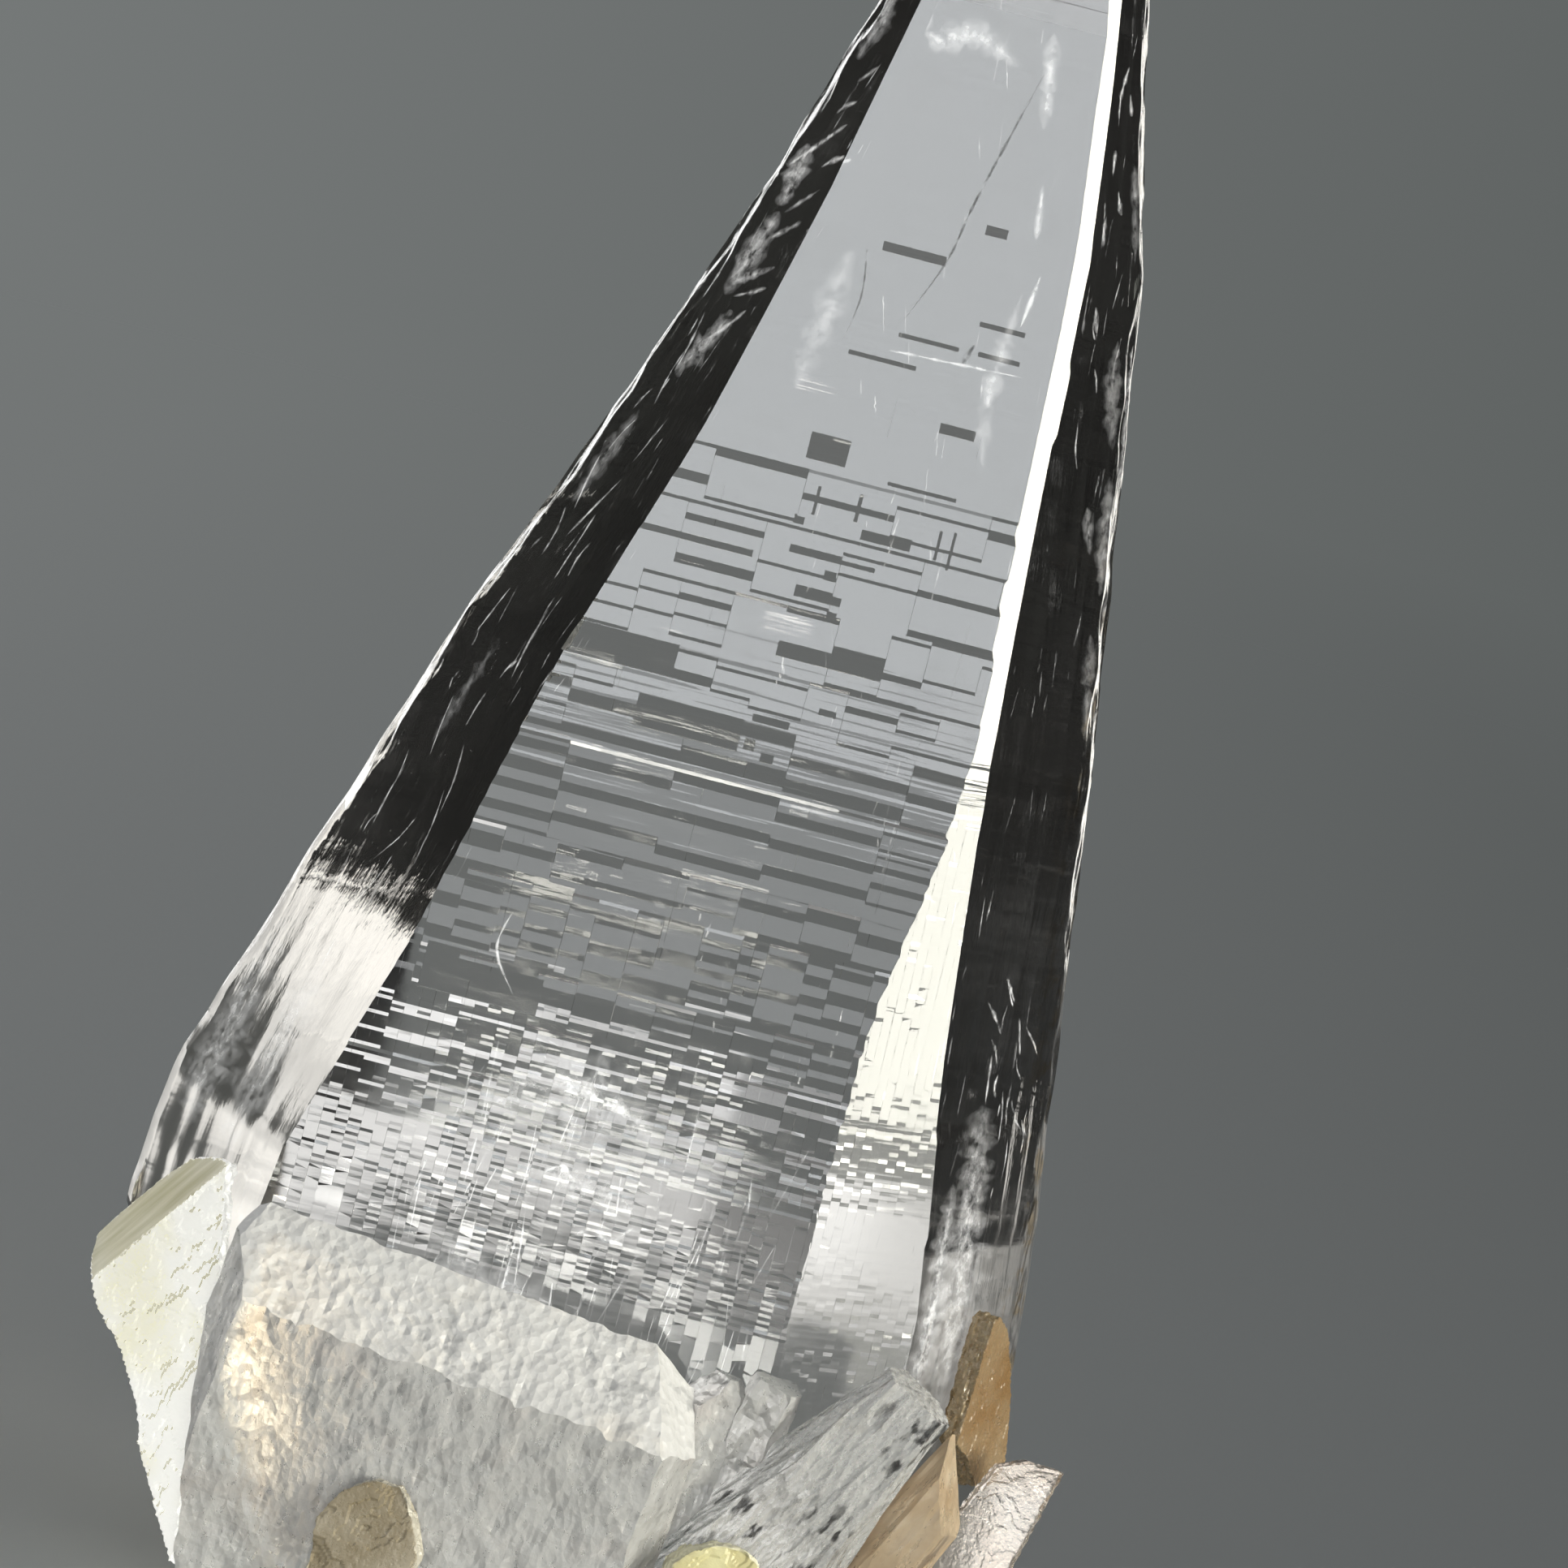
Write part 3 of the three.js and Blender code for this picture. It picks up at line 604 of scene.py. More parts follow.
def dropEmptySlots(piece):
    # the joined solids leave a slot without a material in front of the others
    mesh = piece.data
    used = [material for material in mesh.materials if material]
    places = [used.index(material) if material else 0 for material in mesh.materials]
    numbers = [places[face.material_index] for face in mesh.polygons]
    mesh.materials.clear()
    for material in used:
        mesh.materials.append(material)
    mesh.polygons.foreach_set("material_index", numbers)


# Materials. Patterns are in metres, on Object coordinates.

def shaderGroup(name, inputs, outputs):
    tree = bpy.data.node_groups.new(name, "ShaderNodeTree")
    for label, value in inputs.items():
        kind = "NodeSocketVector" if isinstance(value, tuple) else "NodeSocketFloat"
        tree.interface.new_socket(name=label, in_out="INPUT", socket_type=kind).default_value = value
    for label in outputs:
        tree.interface.new_socket(name=label, in_out="OUTPUT", socket_type="NodeSocketFloat")
    return tree, tree.nodes.new("NodeGroupInput").outputs, tree.nodes.new("NodeGroupOutput").inputs


def blend(tree, factor, first, second):
    # two colours, each given as a socket or as red, green and blue
    colours = [colour if isinstance(colour, bpy.types.NodeSocket) else (*colour, 1.0)
               for colour in (first, second)]
    values = {0: factor, 6: colours[0], 7: colours[1]}
    return addNode(tree, "ShaderNodeMix", values, data_type="RGBA").outputs[2]


def vectorCalc(tree, operation, *values):
    return addNode(tree, "ShaderNodeVectorMath", values, operation=operation).outputs


def striationGroup():
    # fine growth lines across the crystal's length, with faint frosted patches
    tree, given, out = shaderGroup("growth lines", {
        "Vector": (0.0, 0.0, 0.0), "Lines Per Metre": 1800.0, "Patch Scale": 120.0}, ["Lines", "Patches"])
    wide = vectorCalc(tree, "MULTIPLY", given["Vector"], (60.0, 60.0, 1.0))[0]
    spacing = vectorCalc(tree, "MULTIPLY", wide, vectorOf(tree, 1.0, 1.0, given["Lines Per Metre"]))[0]
    lines = texture(tree, "Noise", spacing, Scale=1.0, Detail=1.5)
    patch = texture(tree, "Noise", given["Vector"], Scale=given["Patch Scale"], Detail=5.0, Roughness=0.65)
    feed(tree, out, [lines.outputs[0], ramp(tree, patch.outputs[0], 0.52, 0.68)])
    return tree


def etchGroup():
    # scales, pits and grains on etched and frosted faces, drawn out along a crystal's length
    tree, given, out = shaderGroup("etching", {
        "Vector": (0.0, 0.0, 0.0), "Along": (0.0, 0.0, 1.0), "Scale": 900.0, "Stretch": 1.0,
        "Patch Scale": 90.0},
        ["Height", "Grain", "Pits", "Patches"])
    along = vectorCalc(tree, "DOT_PRODUCT", given["Vector"], given["Along"])["Value"]
    length = calc(tree, "MULTIPLY", along, calc(tree, "SUBTRACT", given["Stretch"], 1.0))
    part = addNode(tree, "ShaderNodeVectorMath", {0: given["Along"], "Scale": length}, operation="SCALE")
    spot = vectorCalc(tree, "ADD", given["Vector"], part.outputs[0])[0]
    scales = texture(tree, "Voronoi", spot, Scale=given["Scale"])
    grain = texture(tree, "Noise", spot, Scale=given["Scale"], Detail=6.0, Roughness=0.7)
    height = calc(tree, "MULTIPLY_ADD", grain.outputs[0], 0.6, scales.outputs["Distance"])
    pits = texture(tree, "Noise", spot, Scale=calc(tree, "MULTIPLY", given["Scale"], 0.7), Detail=3.0)
    patches = texture(tree, "Noise", given["Vector"], Scale=given["Patch Scale"], Detail=3.0)
    feed(tree, out, [height, grain.outputs[0], ramp(tree, pits.outputs[0], 0.53, 0.62),
                     ramp(tree, patches.outputs[0], 0.42, 0.58)])
    return tree


def stainGroup():
    # iron stain and dirt in soft patches
    tree, given, out = shaderGroup("stain", {
        "Vector": (0.0, 0.0, 0.0), "Scale": 160.0, "From": 0.55, "To": 0.72}, ["Stain"])
    cloud = texture(tree, "Noise", given["Vector"], Scale=given["Scale"], Detail=4.0, Roughness=0.6)
    feed(tree, out, [ramp(tree, cloud.outputs[0], given["From"], given["To"])])
    return tree


groups = {"growth lines": striationGroup(), "etching": etchGroup(), "stain": stainGroup()}


class Finish:
    # a material with its Principled shader, and the few steps that each of them repeats
    def __init__(self, name, values):
        self.material = bpy.data.materials.new(name)
        self.material.use_nodes = True
        self.tree = self.material.node_tree
        self.shader = self.tree.nodes["Principled BSDF"]
        for label, value in values.items():
            isColour = isinstance(value, tuple)
            self.shader.inputs[label].default_value = (*value, 1.0) if isColour else value
        self.vector = self.tree.nodes.new("ShaderNodeTexCoord").outputs["Object"]

    def group(self, name, **values):
        inputs = {"Vector": self.vector, **values}
        return addNode(self.tree, "ShaderNodeGroup", inputs, node_tree=groups[name]).outputs

    def link(self, output, label):
        self.tree.links.new(output, self.shader.inputs[label])

    def bump(self, height, distance, strength):
        values = {"Height": height, "Distance": distance, "Strength": strength}
        self.link(addNode(self.tree, "ShaderNodeBump", values).outputs[0], "Normal")

    def absorb(self, colour, density):
        values = {"Color": (*colour, 1.0), "Density": density}
        node = addNode(self.tree, "ShaderNodeVolumeAbsorption", values)
        self.tree.links.new(node.outputs[0], self.tree.nodes["Material Output"].inputs["Volume"])


quartz = {"IOR": 1.544, "Transmission Weight": 1.0}
smoke = {"colour": (0.86, 0.84, 0.80), "density": 14.0}
quartzWhite = (0.98, 0.98, 0.975)


def clearFinish():
    # rougher near the foot
    finish = Finish("clear quartz", {**quartz, "Roughness": 0.03, "Base Color": quartzWhite})
    lines = finish.group("growth lines")
    low = ramp(finish.tree, partsOf(finish.tree, finish.vector)[2], 0.034, 0.056, 0.12, 0.0)
    patches = ramp(finish.tree, lines["Patches"], 0.0, 1.0, 0.02, 0.10)
    finish.link(calc(finish.tree, "ADD", patches, low), "Roughness")
    finish.bump(lines["Lines"], 0.00002, 0.5)
    finish.absorb(**smoke)
    return finish.material


def sideFinish():
    # streaks along the crystal's length, and on the right rim a golden tint in stain-shaped patches, partly
    # iron stain and partly painted golden glints
    finish = Finish("side quartz", quartz)
    tree = finish.tree
    drawn = vectorCalc(tree, "MULTIPLY", finish.vector, (900.0, 900.0, 45.0))[0]
    streaks = texture(tree, "Noise", drawn, Scale=1.0, Detail=4.0, Roughness=0.6).outputs[0]
    place = partsOf(tree, finish.vector)
    # the right rim, up to 80 to 100 mm, gets painted golden glints along with its iron stain
    outward = calc(tree, "MULTIPLY_ADD", place[2], 0.13, place[0])
    below = ramp(tree, place[2], 0.08, 0.1, 1.0, 0.0)
    rim = calc(tree, "MULTIPLY", ramp(tree, outward, 0.0272, 0.029), below)
    rustAndGlints = finish.group("stain", Scale=420.0, From=0.5, To=0.6)
    stained = calc(tree, "MULTIPLY", rustAndGlints["Stain"], rim)
    finish.link(blend(tree, stained, quartzWhite, (0.82, 0.62, 0.36)), "Base Color")
    finish.link(ramp(tree, streaks, 0.58, 0.75, 0.02, 0.3), "Roughness")
    height = calc(tree, "MULTIPLY", streaks, ramp(tree, place[2], 0.035, 0.06, 0.2, 1.0))
    finish.bump(height, 0.00012, 0.6)
    finish.absorb(**smoke)
    return finish.material


def etchedQuartz(name, look):
    # one way of building for every rough finish of the side crystals
    finish = Finish(name, {**quartz, "Transmission Weight": look["transmission"]})
    etching = finish.group("etching", **look["etching"])
    stain = finish.group("stain", **look["stain"])
    # the pits are painted darker in their own colour: painted shade in the hollows, near black on the etched
    # crystal
    pits = calc(finish.tree, "MULTIPLY", etching["Pits"], etching["Patches"])
    pits = calc(finish.tree, "MULTIPLY", pits, look["pitShadeStrength"])
    body = blend(finish.tree, stain["Stain"], look["body"], look["stained"])
    finish.link(blend(finish.tree, pits, body, look["pitShade"]), "Base Color")
    finish.link(ramp(finish.tree, etching["Grain"], 0.3, 0.7, *look["roughness"]), "Roughness")
    finish.bump(etching["Height"], look["relief"], 0.9)
    finish.absorb(**smoke)
    return finish.material


# each rough finish: its body and stain colours, and the painted shade of its pits
roughFinishes = {
    "frosted": {"transmission": 0.4, "pitShadeStrength": 0.5,
                "etching": {"Scale": 1300.0, "Patch Scale": 200.0},
                "stain": {"Scale": 150.0, "From": 0.55, "To": 0.85},
                "body": (0.98, 0.98, 0.97), "stained": (0.93, 0.88, 0.80), "pitShade": (0.42, 0.43, 0.44),
                "roughness": (0.3, 0.55), "relief": 0.00016},
    "scaly": {"transmission": 0.66, "pitShadeStrength": 0.45,
              "etching": {"Scale": 1500.0, "Stretch": 0.7, "Patch Scale": 70.0},
              "stain": {"Scale": 110.0, "From": 0.52, "To": 0.75},
              "body": (0.98, 0.98, 0.96), "stained": (0.96, 0.89, 0.85), "pitShade": (0.48, 0.48, 0.48),
              "roughness": (0.2, 0.5), "relief": 0.00013},
    "etched": {"transmission": 0.7, "pitShadeStrength": 1.0,
               "etching": {"Scale": 2000.0, "Stretch": 0.35, "Patch Scale": 160.0,
                           "Along": (0.495, -0.139, 0.857)},
               "stain": {"Scale": 260.0, "From": 0.62, "To": 0.75},
               "body": (0.98, 0.98, 0.97), "stained": (0.75, 0.72, 0.68), "pitShade": (0.05, 0.05, 0.05),
               "roughness": (0.12, 0.4), "relief": 0.00022},
    "tan": {"transmission": 0.6, "pitShadeStrength": 0.7,
            "etching": {"Scale": 1100.0, "Stretch": 0.25, "Patch Scale": 150.0, "Along": (0.42, -0.1, 0.9)},
            "stain": {"Scale": 220.0, "From": 0.35, "To": 0.7},
            "body": (0.92, 0.77, 0.56), "stained": (0.64, 0.46, 0.28), "pitShade": (0.25, 0.18, 0.12),
            "roughness": (0.2, 0.45), "relief": 0.0002},
}


def cutFinish():
    pale = (0.9, 0.9, 0.88)
    # the ground foot glows faintly in its pale colour: painted light, as almost none reaches it through the
    # glass
    finish = Finish("ground foot", {**quartz, "Roughness": 0.5, "Transmission Weight": 0.35,
                                    "Base Color": pale, "Emission Color": pale, "Emission Strength": 0.15})
    finish.bump(finish.group("etching", Scale=2500.0)["Height"], 0.00005, 0.5)
    finish.absorb(**smoke)
    return finish.material


materials = {"clear": clearFinish(), "side": sideFinish(), "cut": cutFinish()}
for finishName, finishLook in roughFinishes.items():
    materials[finishName] = etchedQuartz(finishName + " quartz", finishLook)
crystals = meshFromTree("grown_quartz", quartzTree(materials),
                        markPlaces(frontMarks, mainCrystal["faces"][1]["offsets"]))
dropEmptySlots(crystals)
simplify(crystals, 0.05)
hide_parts("quartz_crystal")
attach(crystals, "root")
print("crystals grown")


# Hair cracks stand one below the other under the side faces, in ladders that follow fixed seeds. A ladder
# runs from its top to its foot, each given as a place across and up the face in millimetres. Lean is in
# degrees from straight down.
hairLadders = [
    {"azimuth": -150, "top": (-7.5, 106.0), "foot": (-13.0, 52.0), "count": 16, "seed": 5, "stray": 1.5,
     "lean": (-30.0, 15.0), "length": (1.5, 5.0), "width": (0.15, 0.4), "strength": (0.6, 1.0)},
    {"azimuth": -150, "top": (-3.5, 97.0), "foot": (-6.5, 57.0), "count": 11, "seed": 3, "stray": 1.5,
     "lean": (-40.0, 20.0), "length": (1.5, 6.0), "width": (0.15, 0.4), "strength": (0.6, 1.0)},
    {"azimuth": -150, "top": (0.0, 126.0), "foot": (-2.0, 103.0), "count": 9, "seed": 7, "stray": 1.5,
     "lean": (-75.0, -40.0), "length": (2.0, 7.0), "width": (0.5, 0.9), "strength": (0.4, 0.7)},
    {"azimuth": -30, "top": (3.0, 131.0), "foot": (2.0, 103.0), "count": 10, "seed": 9, "stray": 2.0,
     "lean": (-20.0, 45.0), "length": (1.5, 5.0), "width": (0.15, 0.9), "strength": (0.5, 0.9)},
    {"azimuth": -30, "top": (2.0, 62.0), "foot": (9.0, 49.0), "count": 16, "seed": 11, "stray": 3.0,
     "lean": (-10.0, 50.0), "length": (1.5, 4.0), "width": (0.2, 0.5), "strength": (0.8, 1.0)},
]
# Veils and single seams, each with its width, how dense it looks and its course.
veils = {
    -150: [
        (9, 0.4, [(-18, 51), (-18, 43), (-17, 34)]), (8, 0.35, [(-9, 50), (-9, 34)]),
        (1.4, 0.8, [(-6, 128), (-8, 122), (-9.5, 116)]), (1.2, 0.8, [(-10, 113), (-10.5, 106), (-11.5, 99)]),
        (1, 0.7, [(-11.5, 97), (-12.5, 86)]), (3.5, 0.6, [(-5.5, 118.5), (-4.5, 113.5)]),
        (4, 0.55, [(-4.5, 113), (-5.5, 106)]), (3, 0.45, [(-3, 105), (-4.5, 102), (-6.5, 99.5)]),
        (3.5, 0.5, [(-4, 133), (-4.5, 125.5)]), (2.5, 0.25, [(-8, 96), (-9.5, 88)]),
        (2, 0.2, [(-8, 77), (-10, 68)]),
    ],
    -30: [
        (2.6, 0.3, [(5, 110), (5, 106), (6.5, 102)]), (2.6, 0.3, [(6.5, 100), (7.5, 91)]),
        (2.2, 0.25, [(7, 88), (8.5, 80)]), (1.5, 0.3, [(4.5, 123), (6, 116)]),
        (1.6, 0.35, [(3.5, 97.5), (5, 94)]),
        (2.4, 0.5, [(6, 130), (7.5, 122), (8.5, 112)]), (2.6, 0.5, [(8.5, 112), (9, 96)]),
        (1.8, 0.5, [(9.5, 95), (10.5, 78)]), (8, 0.5, [(2, 52), (3, 38), (3, 28)]),
        (4, 0.6, [(-0.5, 46), (-0.5, 26)]),
    ],
    -90: [
        (7, 0.5, [(-19, 44), (-14, 47), (-9, 47), (-5, 44)]),
        (8, 0.4, [(-17, 39), (-12, 41), (-7, 40), (-4, 37)]),
        (5, 0.4, [(-20, 35), (-16, 32), (-10, 31)]),
        (2.2, 0.5, [(-8, 131), (-6, 128.5), (-3, 129.5), (0.5, 128)]),
        (1.6, 0.5, [(2.5, 131), (3.5, 124)]), (1.5, 0.3, [(5, 112), (4.5, 104), (5.5, 98)]),
        (2.4, 0.25, [(-8, 112), (-9.5, 101)]),
        (0.7, 0.8, [(-10, 36.5), (-8.5, 37.5), (-7, 37), (-5.5, 38.5)]),
        (0.6, 0.8, [(-13.5, 40), (-12, 41.5), (-10.5, 40.5)]), (0.9, 0.6, [(-12.5, 47.5), (-7.5, 46.5)]),
        (0.25, 1, [(-20, 59), (-20.5, 56), (-18.5, 53)]), (0.6, 0.5, [(4.5, 120), (5, 116)]),
        (0.35, 0.8, [(6, 113.5), (5.5, 109.5)]), (0.3, 0.7, [(-4, 105.5), (6.5, 106)]),
    ],
}
# dark cracks that come up to the front face
openCracks = [
    (0.24, 1, [(2.5, 128), (0, 118), (-1, 113), (-3, 108)]),
    (0.5, 1, [(2.5, 107.5), (2, 106)]),
    (0.18, 0.8, [(-7, 112.5), (-6.5, 109), (-7, 105.5)]),
]
# how the thin sheets of the seams are drawn, in millimetres: fullness widens a sheet at its middle
ribbon = {"step": 0.35, "fullness": 1.25, "leftMargin": 1.3, "rightMargin": 0.3}
faceOffsets = {face["sizes"]["Azimuth"]: face["offsets"] for face in mainFaces if face["offsets"][0]}


def onFace(azimuth, across, height, depth):
    # a place under a face of the main crystal, kept a little inside its edges
    own, before, after = (heightProfile(faceOffsets[(turn + 180.0) % 360.0 - 180.0], height)
                          for turn in (azimuth, azimuth - 60.0, azimuth + 60.0))
    sine = math.sin(math.radians(60))
    leftEdge = ribbon["leftMargin"] - (before - own / 2) / sine
    rightEdge = (after - own / 2) / sine - ribbon["rightMargin"]
    across = min(max(across, leftEdge), rightEdge)
    place = Vector((across, depth - own, height)) * mm
    return Euler((0, 0, math.radians(azimuth + 90)), "XYZ").to_matrix() @ place


def smoothPath(points, step):
    # evenly spaced places on a smooth line through the given ones
    ends = [points[0], *points, points[-1]]
    path = []
    for i in range(len(points) - 1):
        a, b, c, d = (Vector(point) for point in ends[i:i + 4])
        count = max(2, round((c - b).length / step))
        for k in range(count):
            t = k / count
            path.append(0.5 * (2 * b + (c - a) * t + (2 * a - 5 * b + 4 * c - d) * t ** 2
                               + (3 * b - a - 3 * c + d) * t ** 3))
    return path + [Vector(points[-1])]


def addRibbon(bm, thickness, azimuth, width, strength, points, depth):
    # a thin sheet that lies along the face, soft at its edges and running out at its ends
    path = smoothPath(points, ribbon["step"])
    before = None
    for i, spot in enumerate(path):
        ahead = path[min(i + 1, len(path) - 1)] - path[max(i - 1, 0)]
        side = Vector((-ahead.y, ahead.x)).normalized()
        taper = math.sin(math.pi * (i + 0.35) / (len(path) - 0.3)) ** 0.6 * ribbon["fullness"]
        ragged = 0.8 + 0.7 * noise.noise(Vector((spot.x * 1.5, spot.y * 1.5, depth)))
        row = []
        for reach, level in ((-0.5, 0.0), (0.0, 1.0), (0.5, 0.0)):
            u, z = spot + side * width * taper * ragged * reach
            vert = bm.verts.new(onFace(azimuth, u, z, depth))
            vert[thickness] = min(1.0, level * strength * taper)
            row.append(vert)
        if before:
            bm.faces.new((before[0], row[0], row[1], before[1]))
            bm.faces.new((before[1], row[1], row[2], before[2]))
        before = row


def strayHairs(azimuth, count, chance, heights=(44.0, 138.0), reach=(-0.45, 0.45), lengths=(0.6, 3.2)):
    # short cracks along the crystal's length
    hairs = []
    for i in range(count):
        height = chance.uniform(*heights)
        across = chance.uniform(*reach) * heightProfile(faceOffsets[azimuth], height)
        length = chance.uniform(*lengths)
        lean = chance.uniform(-0.15, 0.3)
        hairs.append((chance.uniform(0.07, 0.2), chance.uniform(0.25, 0.8),
                      [(across, height), (across + lean * length / 2, height + length / 2),
                       (across + lean * length, height + length)]))
    return hairs


def hairLadder(ladder):
    # cracks one below the other, each a little to one side of the line from the top to the foot
    chance = random.Random(ladder["seed"])
    hairs = []
    for i in range(ladder["count"]):
        share = (i + chance.uniform(0.0, 0.8)) / ladder["count"]
        start = Vector(ladder["top"]).lerp(Vector(ladder["foot"]), share)
        start.x += chance.uniform(-ladder["stray"], ladder["stray"])
        lean = math.radians(chance.uniform(*ladder["lean"]))
        run = Vector((math.sin(lean), -math.cos(lean))) * chance.uniform(*ladder["length"])
        bend = Vector((chance.uniform(-0.4, 0.4), 0.0))
        hairs.append((chance.uniform(*ladder["width"]), chance.uniform(*ladder["strength"]),
                      [start, start + run / 2 + bend, start + run]))
    return hairs


def seamFinish(name, colour, breakScale, glow):
    # the seam glows in its own colour at the given strength: painted light for the light that white seams
    # scatter
    finish = Finish(name, {"Roughness": 0.5, "Base Color": colour, "Emission Color": colour,
                           "Emission Strength": glow})
    thickness = addNode(finish.tree, "ShaderNodeAttribute", attribute_name="thickness")
    cloud = texture(finish.tree, "Noise", finish.vector, Scale=breakScale, Detail=8.0, Roughness=0.7)
    broken = ramp(finish.tree, cloud.outputs[0], 0.36, 0.66)
    finish.link(calc(finish.tree, "MULTIPLY", thickness.outputs["Fac"], broken), "Alpha")
    return finish.material


def makeSeams(name, material, ribbons):
    bm = bmesh.new()
    thickness = bm.verts.layers.float.new("thickness")
    for azimuth, width, strength, points, depth in ribbons:
        addRibbon(bm, thickness, azimuth, width, strength, points, depth)
    mesh = bpy.data.meshes.new(name)
    bm.to_mesh(mesh)
    bm.free()
    mesh.materials.append(material)
    piece = addObject(name, mesh)
    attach(piece, "root")
    print(name, "has", len(mesh.polygons), "faces")


chance = random.Random(19)


def layUnder(azimuth, courses, depths, widening=1.0):
    # each seam at a depth of its own under the face
    return [(azimuth, width * widening, strength, points, chance.uniform(*depths))
            for width, strength, points in courses]


whiteSeams = []
for ladder in hairLadders:
    whiteSeams += layUnder(ladder["azimuth"], hairLadder(ladder), (0.5, 1.1))
for azimuth, courses in veils.items():
    whiteSeams += layUnder(azimuth, courses, (0.5, 1.1))
strayCounts = {-150: 90, -30: 90, 30: 40, 90: 50, 150: 60}
for azimuth, count in strayCounts.items():
    whiteSeams += layUnder(azimuth, strayHairs(azimuth, count, chance), (0.4, 2.5))
footStreaks = strayHairs(-90, 110, chance, heights=(23.0, 44.0), reach=(-1.25, 0.25), lengths=(2.0, 8.0))
whiteSeams += layUnder(-90, footStreaks, (0.3, 1.2), widening=1.3)
# healed seams are white and carry a painted glow of strength 1.0
makeSeams("healed_seams", seamFinish("healed seam", (0.95, 0.95, 0.94), 800.0, 1.0), whiteSeams)
makeSeams("open_cracks", seamFinish("open crack", (0.05, 0.05, 0.05), 900.0, 0.0),
          [(-90, width, strength, points, -0.03) for width, strength, points in openCracks])


def axesOf(turn):
    # a plate's own directions: across, up and through its thickness
    rotation = Euler([math.radians(angle) for angle in turn], "XYZ").to_matrix()
    return [rotation.col[0].copy(), rotation.col[1].copy(), rotation.col[2].copy()]


def micaFinish(name, look):
    # the Emission Color is the rim colour, and a plate with a glow shines faintly in it all over: painted
    # light
    finish = Finish(name, {"IOR": 1.58, "Transmission Weight": look["transmission"],
                           "Emission Color": look["rim"], "Emission Strength": look.get("glow", 0.0)})
    tree = finish.tree
    rim = addNode(tree, "ShaderNodeAttribute", attribute_name="rim")
    body = blend(tree, finish.group("stain", **look["clouds"])["Stain"], *look["body"])
    if "spots" in look:
        spots = finish.group("stain", Scale=520.0, From=0.66, To=0.7)
        body = blend(tree, spots["Stain"], body, look["spots"])
    finish.link(blend(tree, rim.outputs["Fac"], body, look["rim"]), "Base Color")
    grain = texture(tree, "Noise", finish.vector, Scale=1400.0, Detail=5.0, Roughness=0.65).outputs[0]
    finish.link(ramp(tree, grain, 0.35, 0.65, *look["roughness"]), "Roughness")
    finish.bump(grain, 0.00012, 0.7)
    return finish.material


def stripFinish(look, along, through):
    # the smooth end of a plate, with fine lines along the sheets
    finish = Finish("mica strip", {"IOR": 1.58, "Roughness": 0.22, "Transmission Weight": 0.25})
    tree = finish.tree
    lines = vectorCalc(tree, "DOT_PRODUCT", finish.vector, tuple(through))["Value"]
    slow = vectorCalc(tree, "DOT_PRODUCT", finish.vector, tuple(along))["Value"]
    spot = vectorOf(tree, calc(tree, "MULTIPLY", lines, look["linesPerMetre"]),
                    calc(tree, "MULTIPLY", slow, look["breaksPerMetre"]))
    bands = texture(tree, "Noise", spot, Scale=1.0, Detail=3.0).outputs[0]
    finish.link(blend(tree, ramp(tree, bands, 0.35, 0.68), look["dark"], look["light"]), "Base Color")
    finish.bump(bands, 0.00006, 0.5)
    return finish.material


# how each plate is laid out and weathered; sizes are millimetres
micaPieces = {
    "left_mica_plate": {
        "slot": "pale_mica", "at": (-39.3, -13.5, 21.5), "turn": (80, 0, -32), "voxel": 0.24, "sheet": 0.42,
        "ragged": 0.8, "terrace": 0.45, "strip": {
            "facing": (-0.82, 0.573), "lean": 55, "dark": (0.60, 0.57, 0.40), "light": (0.92, 0.89, 0.74),
            "linesPerMetre": 1400.0, "breaksPerMetre": 90.0},
        # the left plate glows at 0.3 in its white rim colour: painted light
        "look": {"body": [(0.97, 0.96, 0.90), (0.88, 0.84, 0.58)], "rim": (0.98, 0.98, 0.96),
                 "clouds": {"Scale": 110.0, "From": 0.5, "To": 0.68}, "roughness": (0.2, 0.45),
                 "transmission": 0.1, "glow": 0.3}},
    "right_mica_plate": {
        "slot": "amber_mica", "at": (24, -4, 31), "turn": (87, 0, 58), "voxel": 0.16, "sheet": 0.35,
        "ragged": 0.35, "terrace": 0.2,
        "look": {"body": [(0.40, 0.24, 0.10), (0.52, 0.38, 0.22)], "rim": (0.50, 0.40, 0.24),
                 "clouds": {"Scale": 150.0, "From": 0.4, "To": 0.62}, "roughness": (0.12, 0.35),
                 "transmission": 0.55, "spots": (0.35, 0.18, 0.07)}},
    "thin_mica_blade": {
        "slot": "tan_mica", "at": (24.8, -10.5, 20.4), "turn": (86, 0, 18), "voxel": 0.16, "sheet": 0.3,
        "ragged": 0.3, "terrace": 0.12,
        "look": {"body": [(0.93, 0.88, 0.82), (0.84, 0.74, 0.64)], "rim": (0.55, 0.45, 0.36),
                 "clouds": {"Scale": 120.0, "From": 0.45, "To": 0.7}, "roughness": (0.05, 0.18),
                 "transmission": 0.95}},
    "yellow_chip": {
        "slot": "pale_mica", "at": (6, -25.2, 14.5), "turn": (80, 0, 8), "voxel": 0.2, "sheet": 0.5,
        "ragged": 0.5, "terrace": 0.35,
        "look": {"body": [(0.78, 0.74, 0.42), (0.62, 0.56, 0.28)], "rim": (0.85, 0.82, 0.62),
                 "clouds": {"Scale": 260.0, "From": 0.42, "To": 0.62}, "roughness": (0.3, 0.5),
                 "transmission": 0.2}},
    "brown_chip": {
        "slot": "amber_mica", "at": (-19, -28, 13), "turn": (84, 0, -8), "voxel": 0.2, "sheet": 0.5,
        "ragged": 0.5, "terrace": 0.35,
        "look": {"body": [(0.40, 0.33, 0.21), (0.56, 0.49, 0.36)], "rim": (0.70, 0.66, 0.55),
                 "clouds": {"Scale": 200.0, "From": 0.42, "To": 0.62}, "roughness": (0.2, 0.4),
                 "transmission": 0.3}},
}


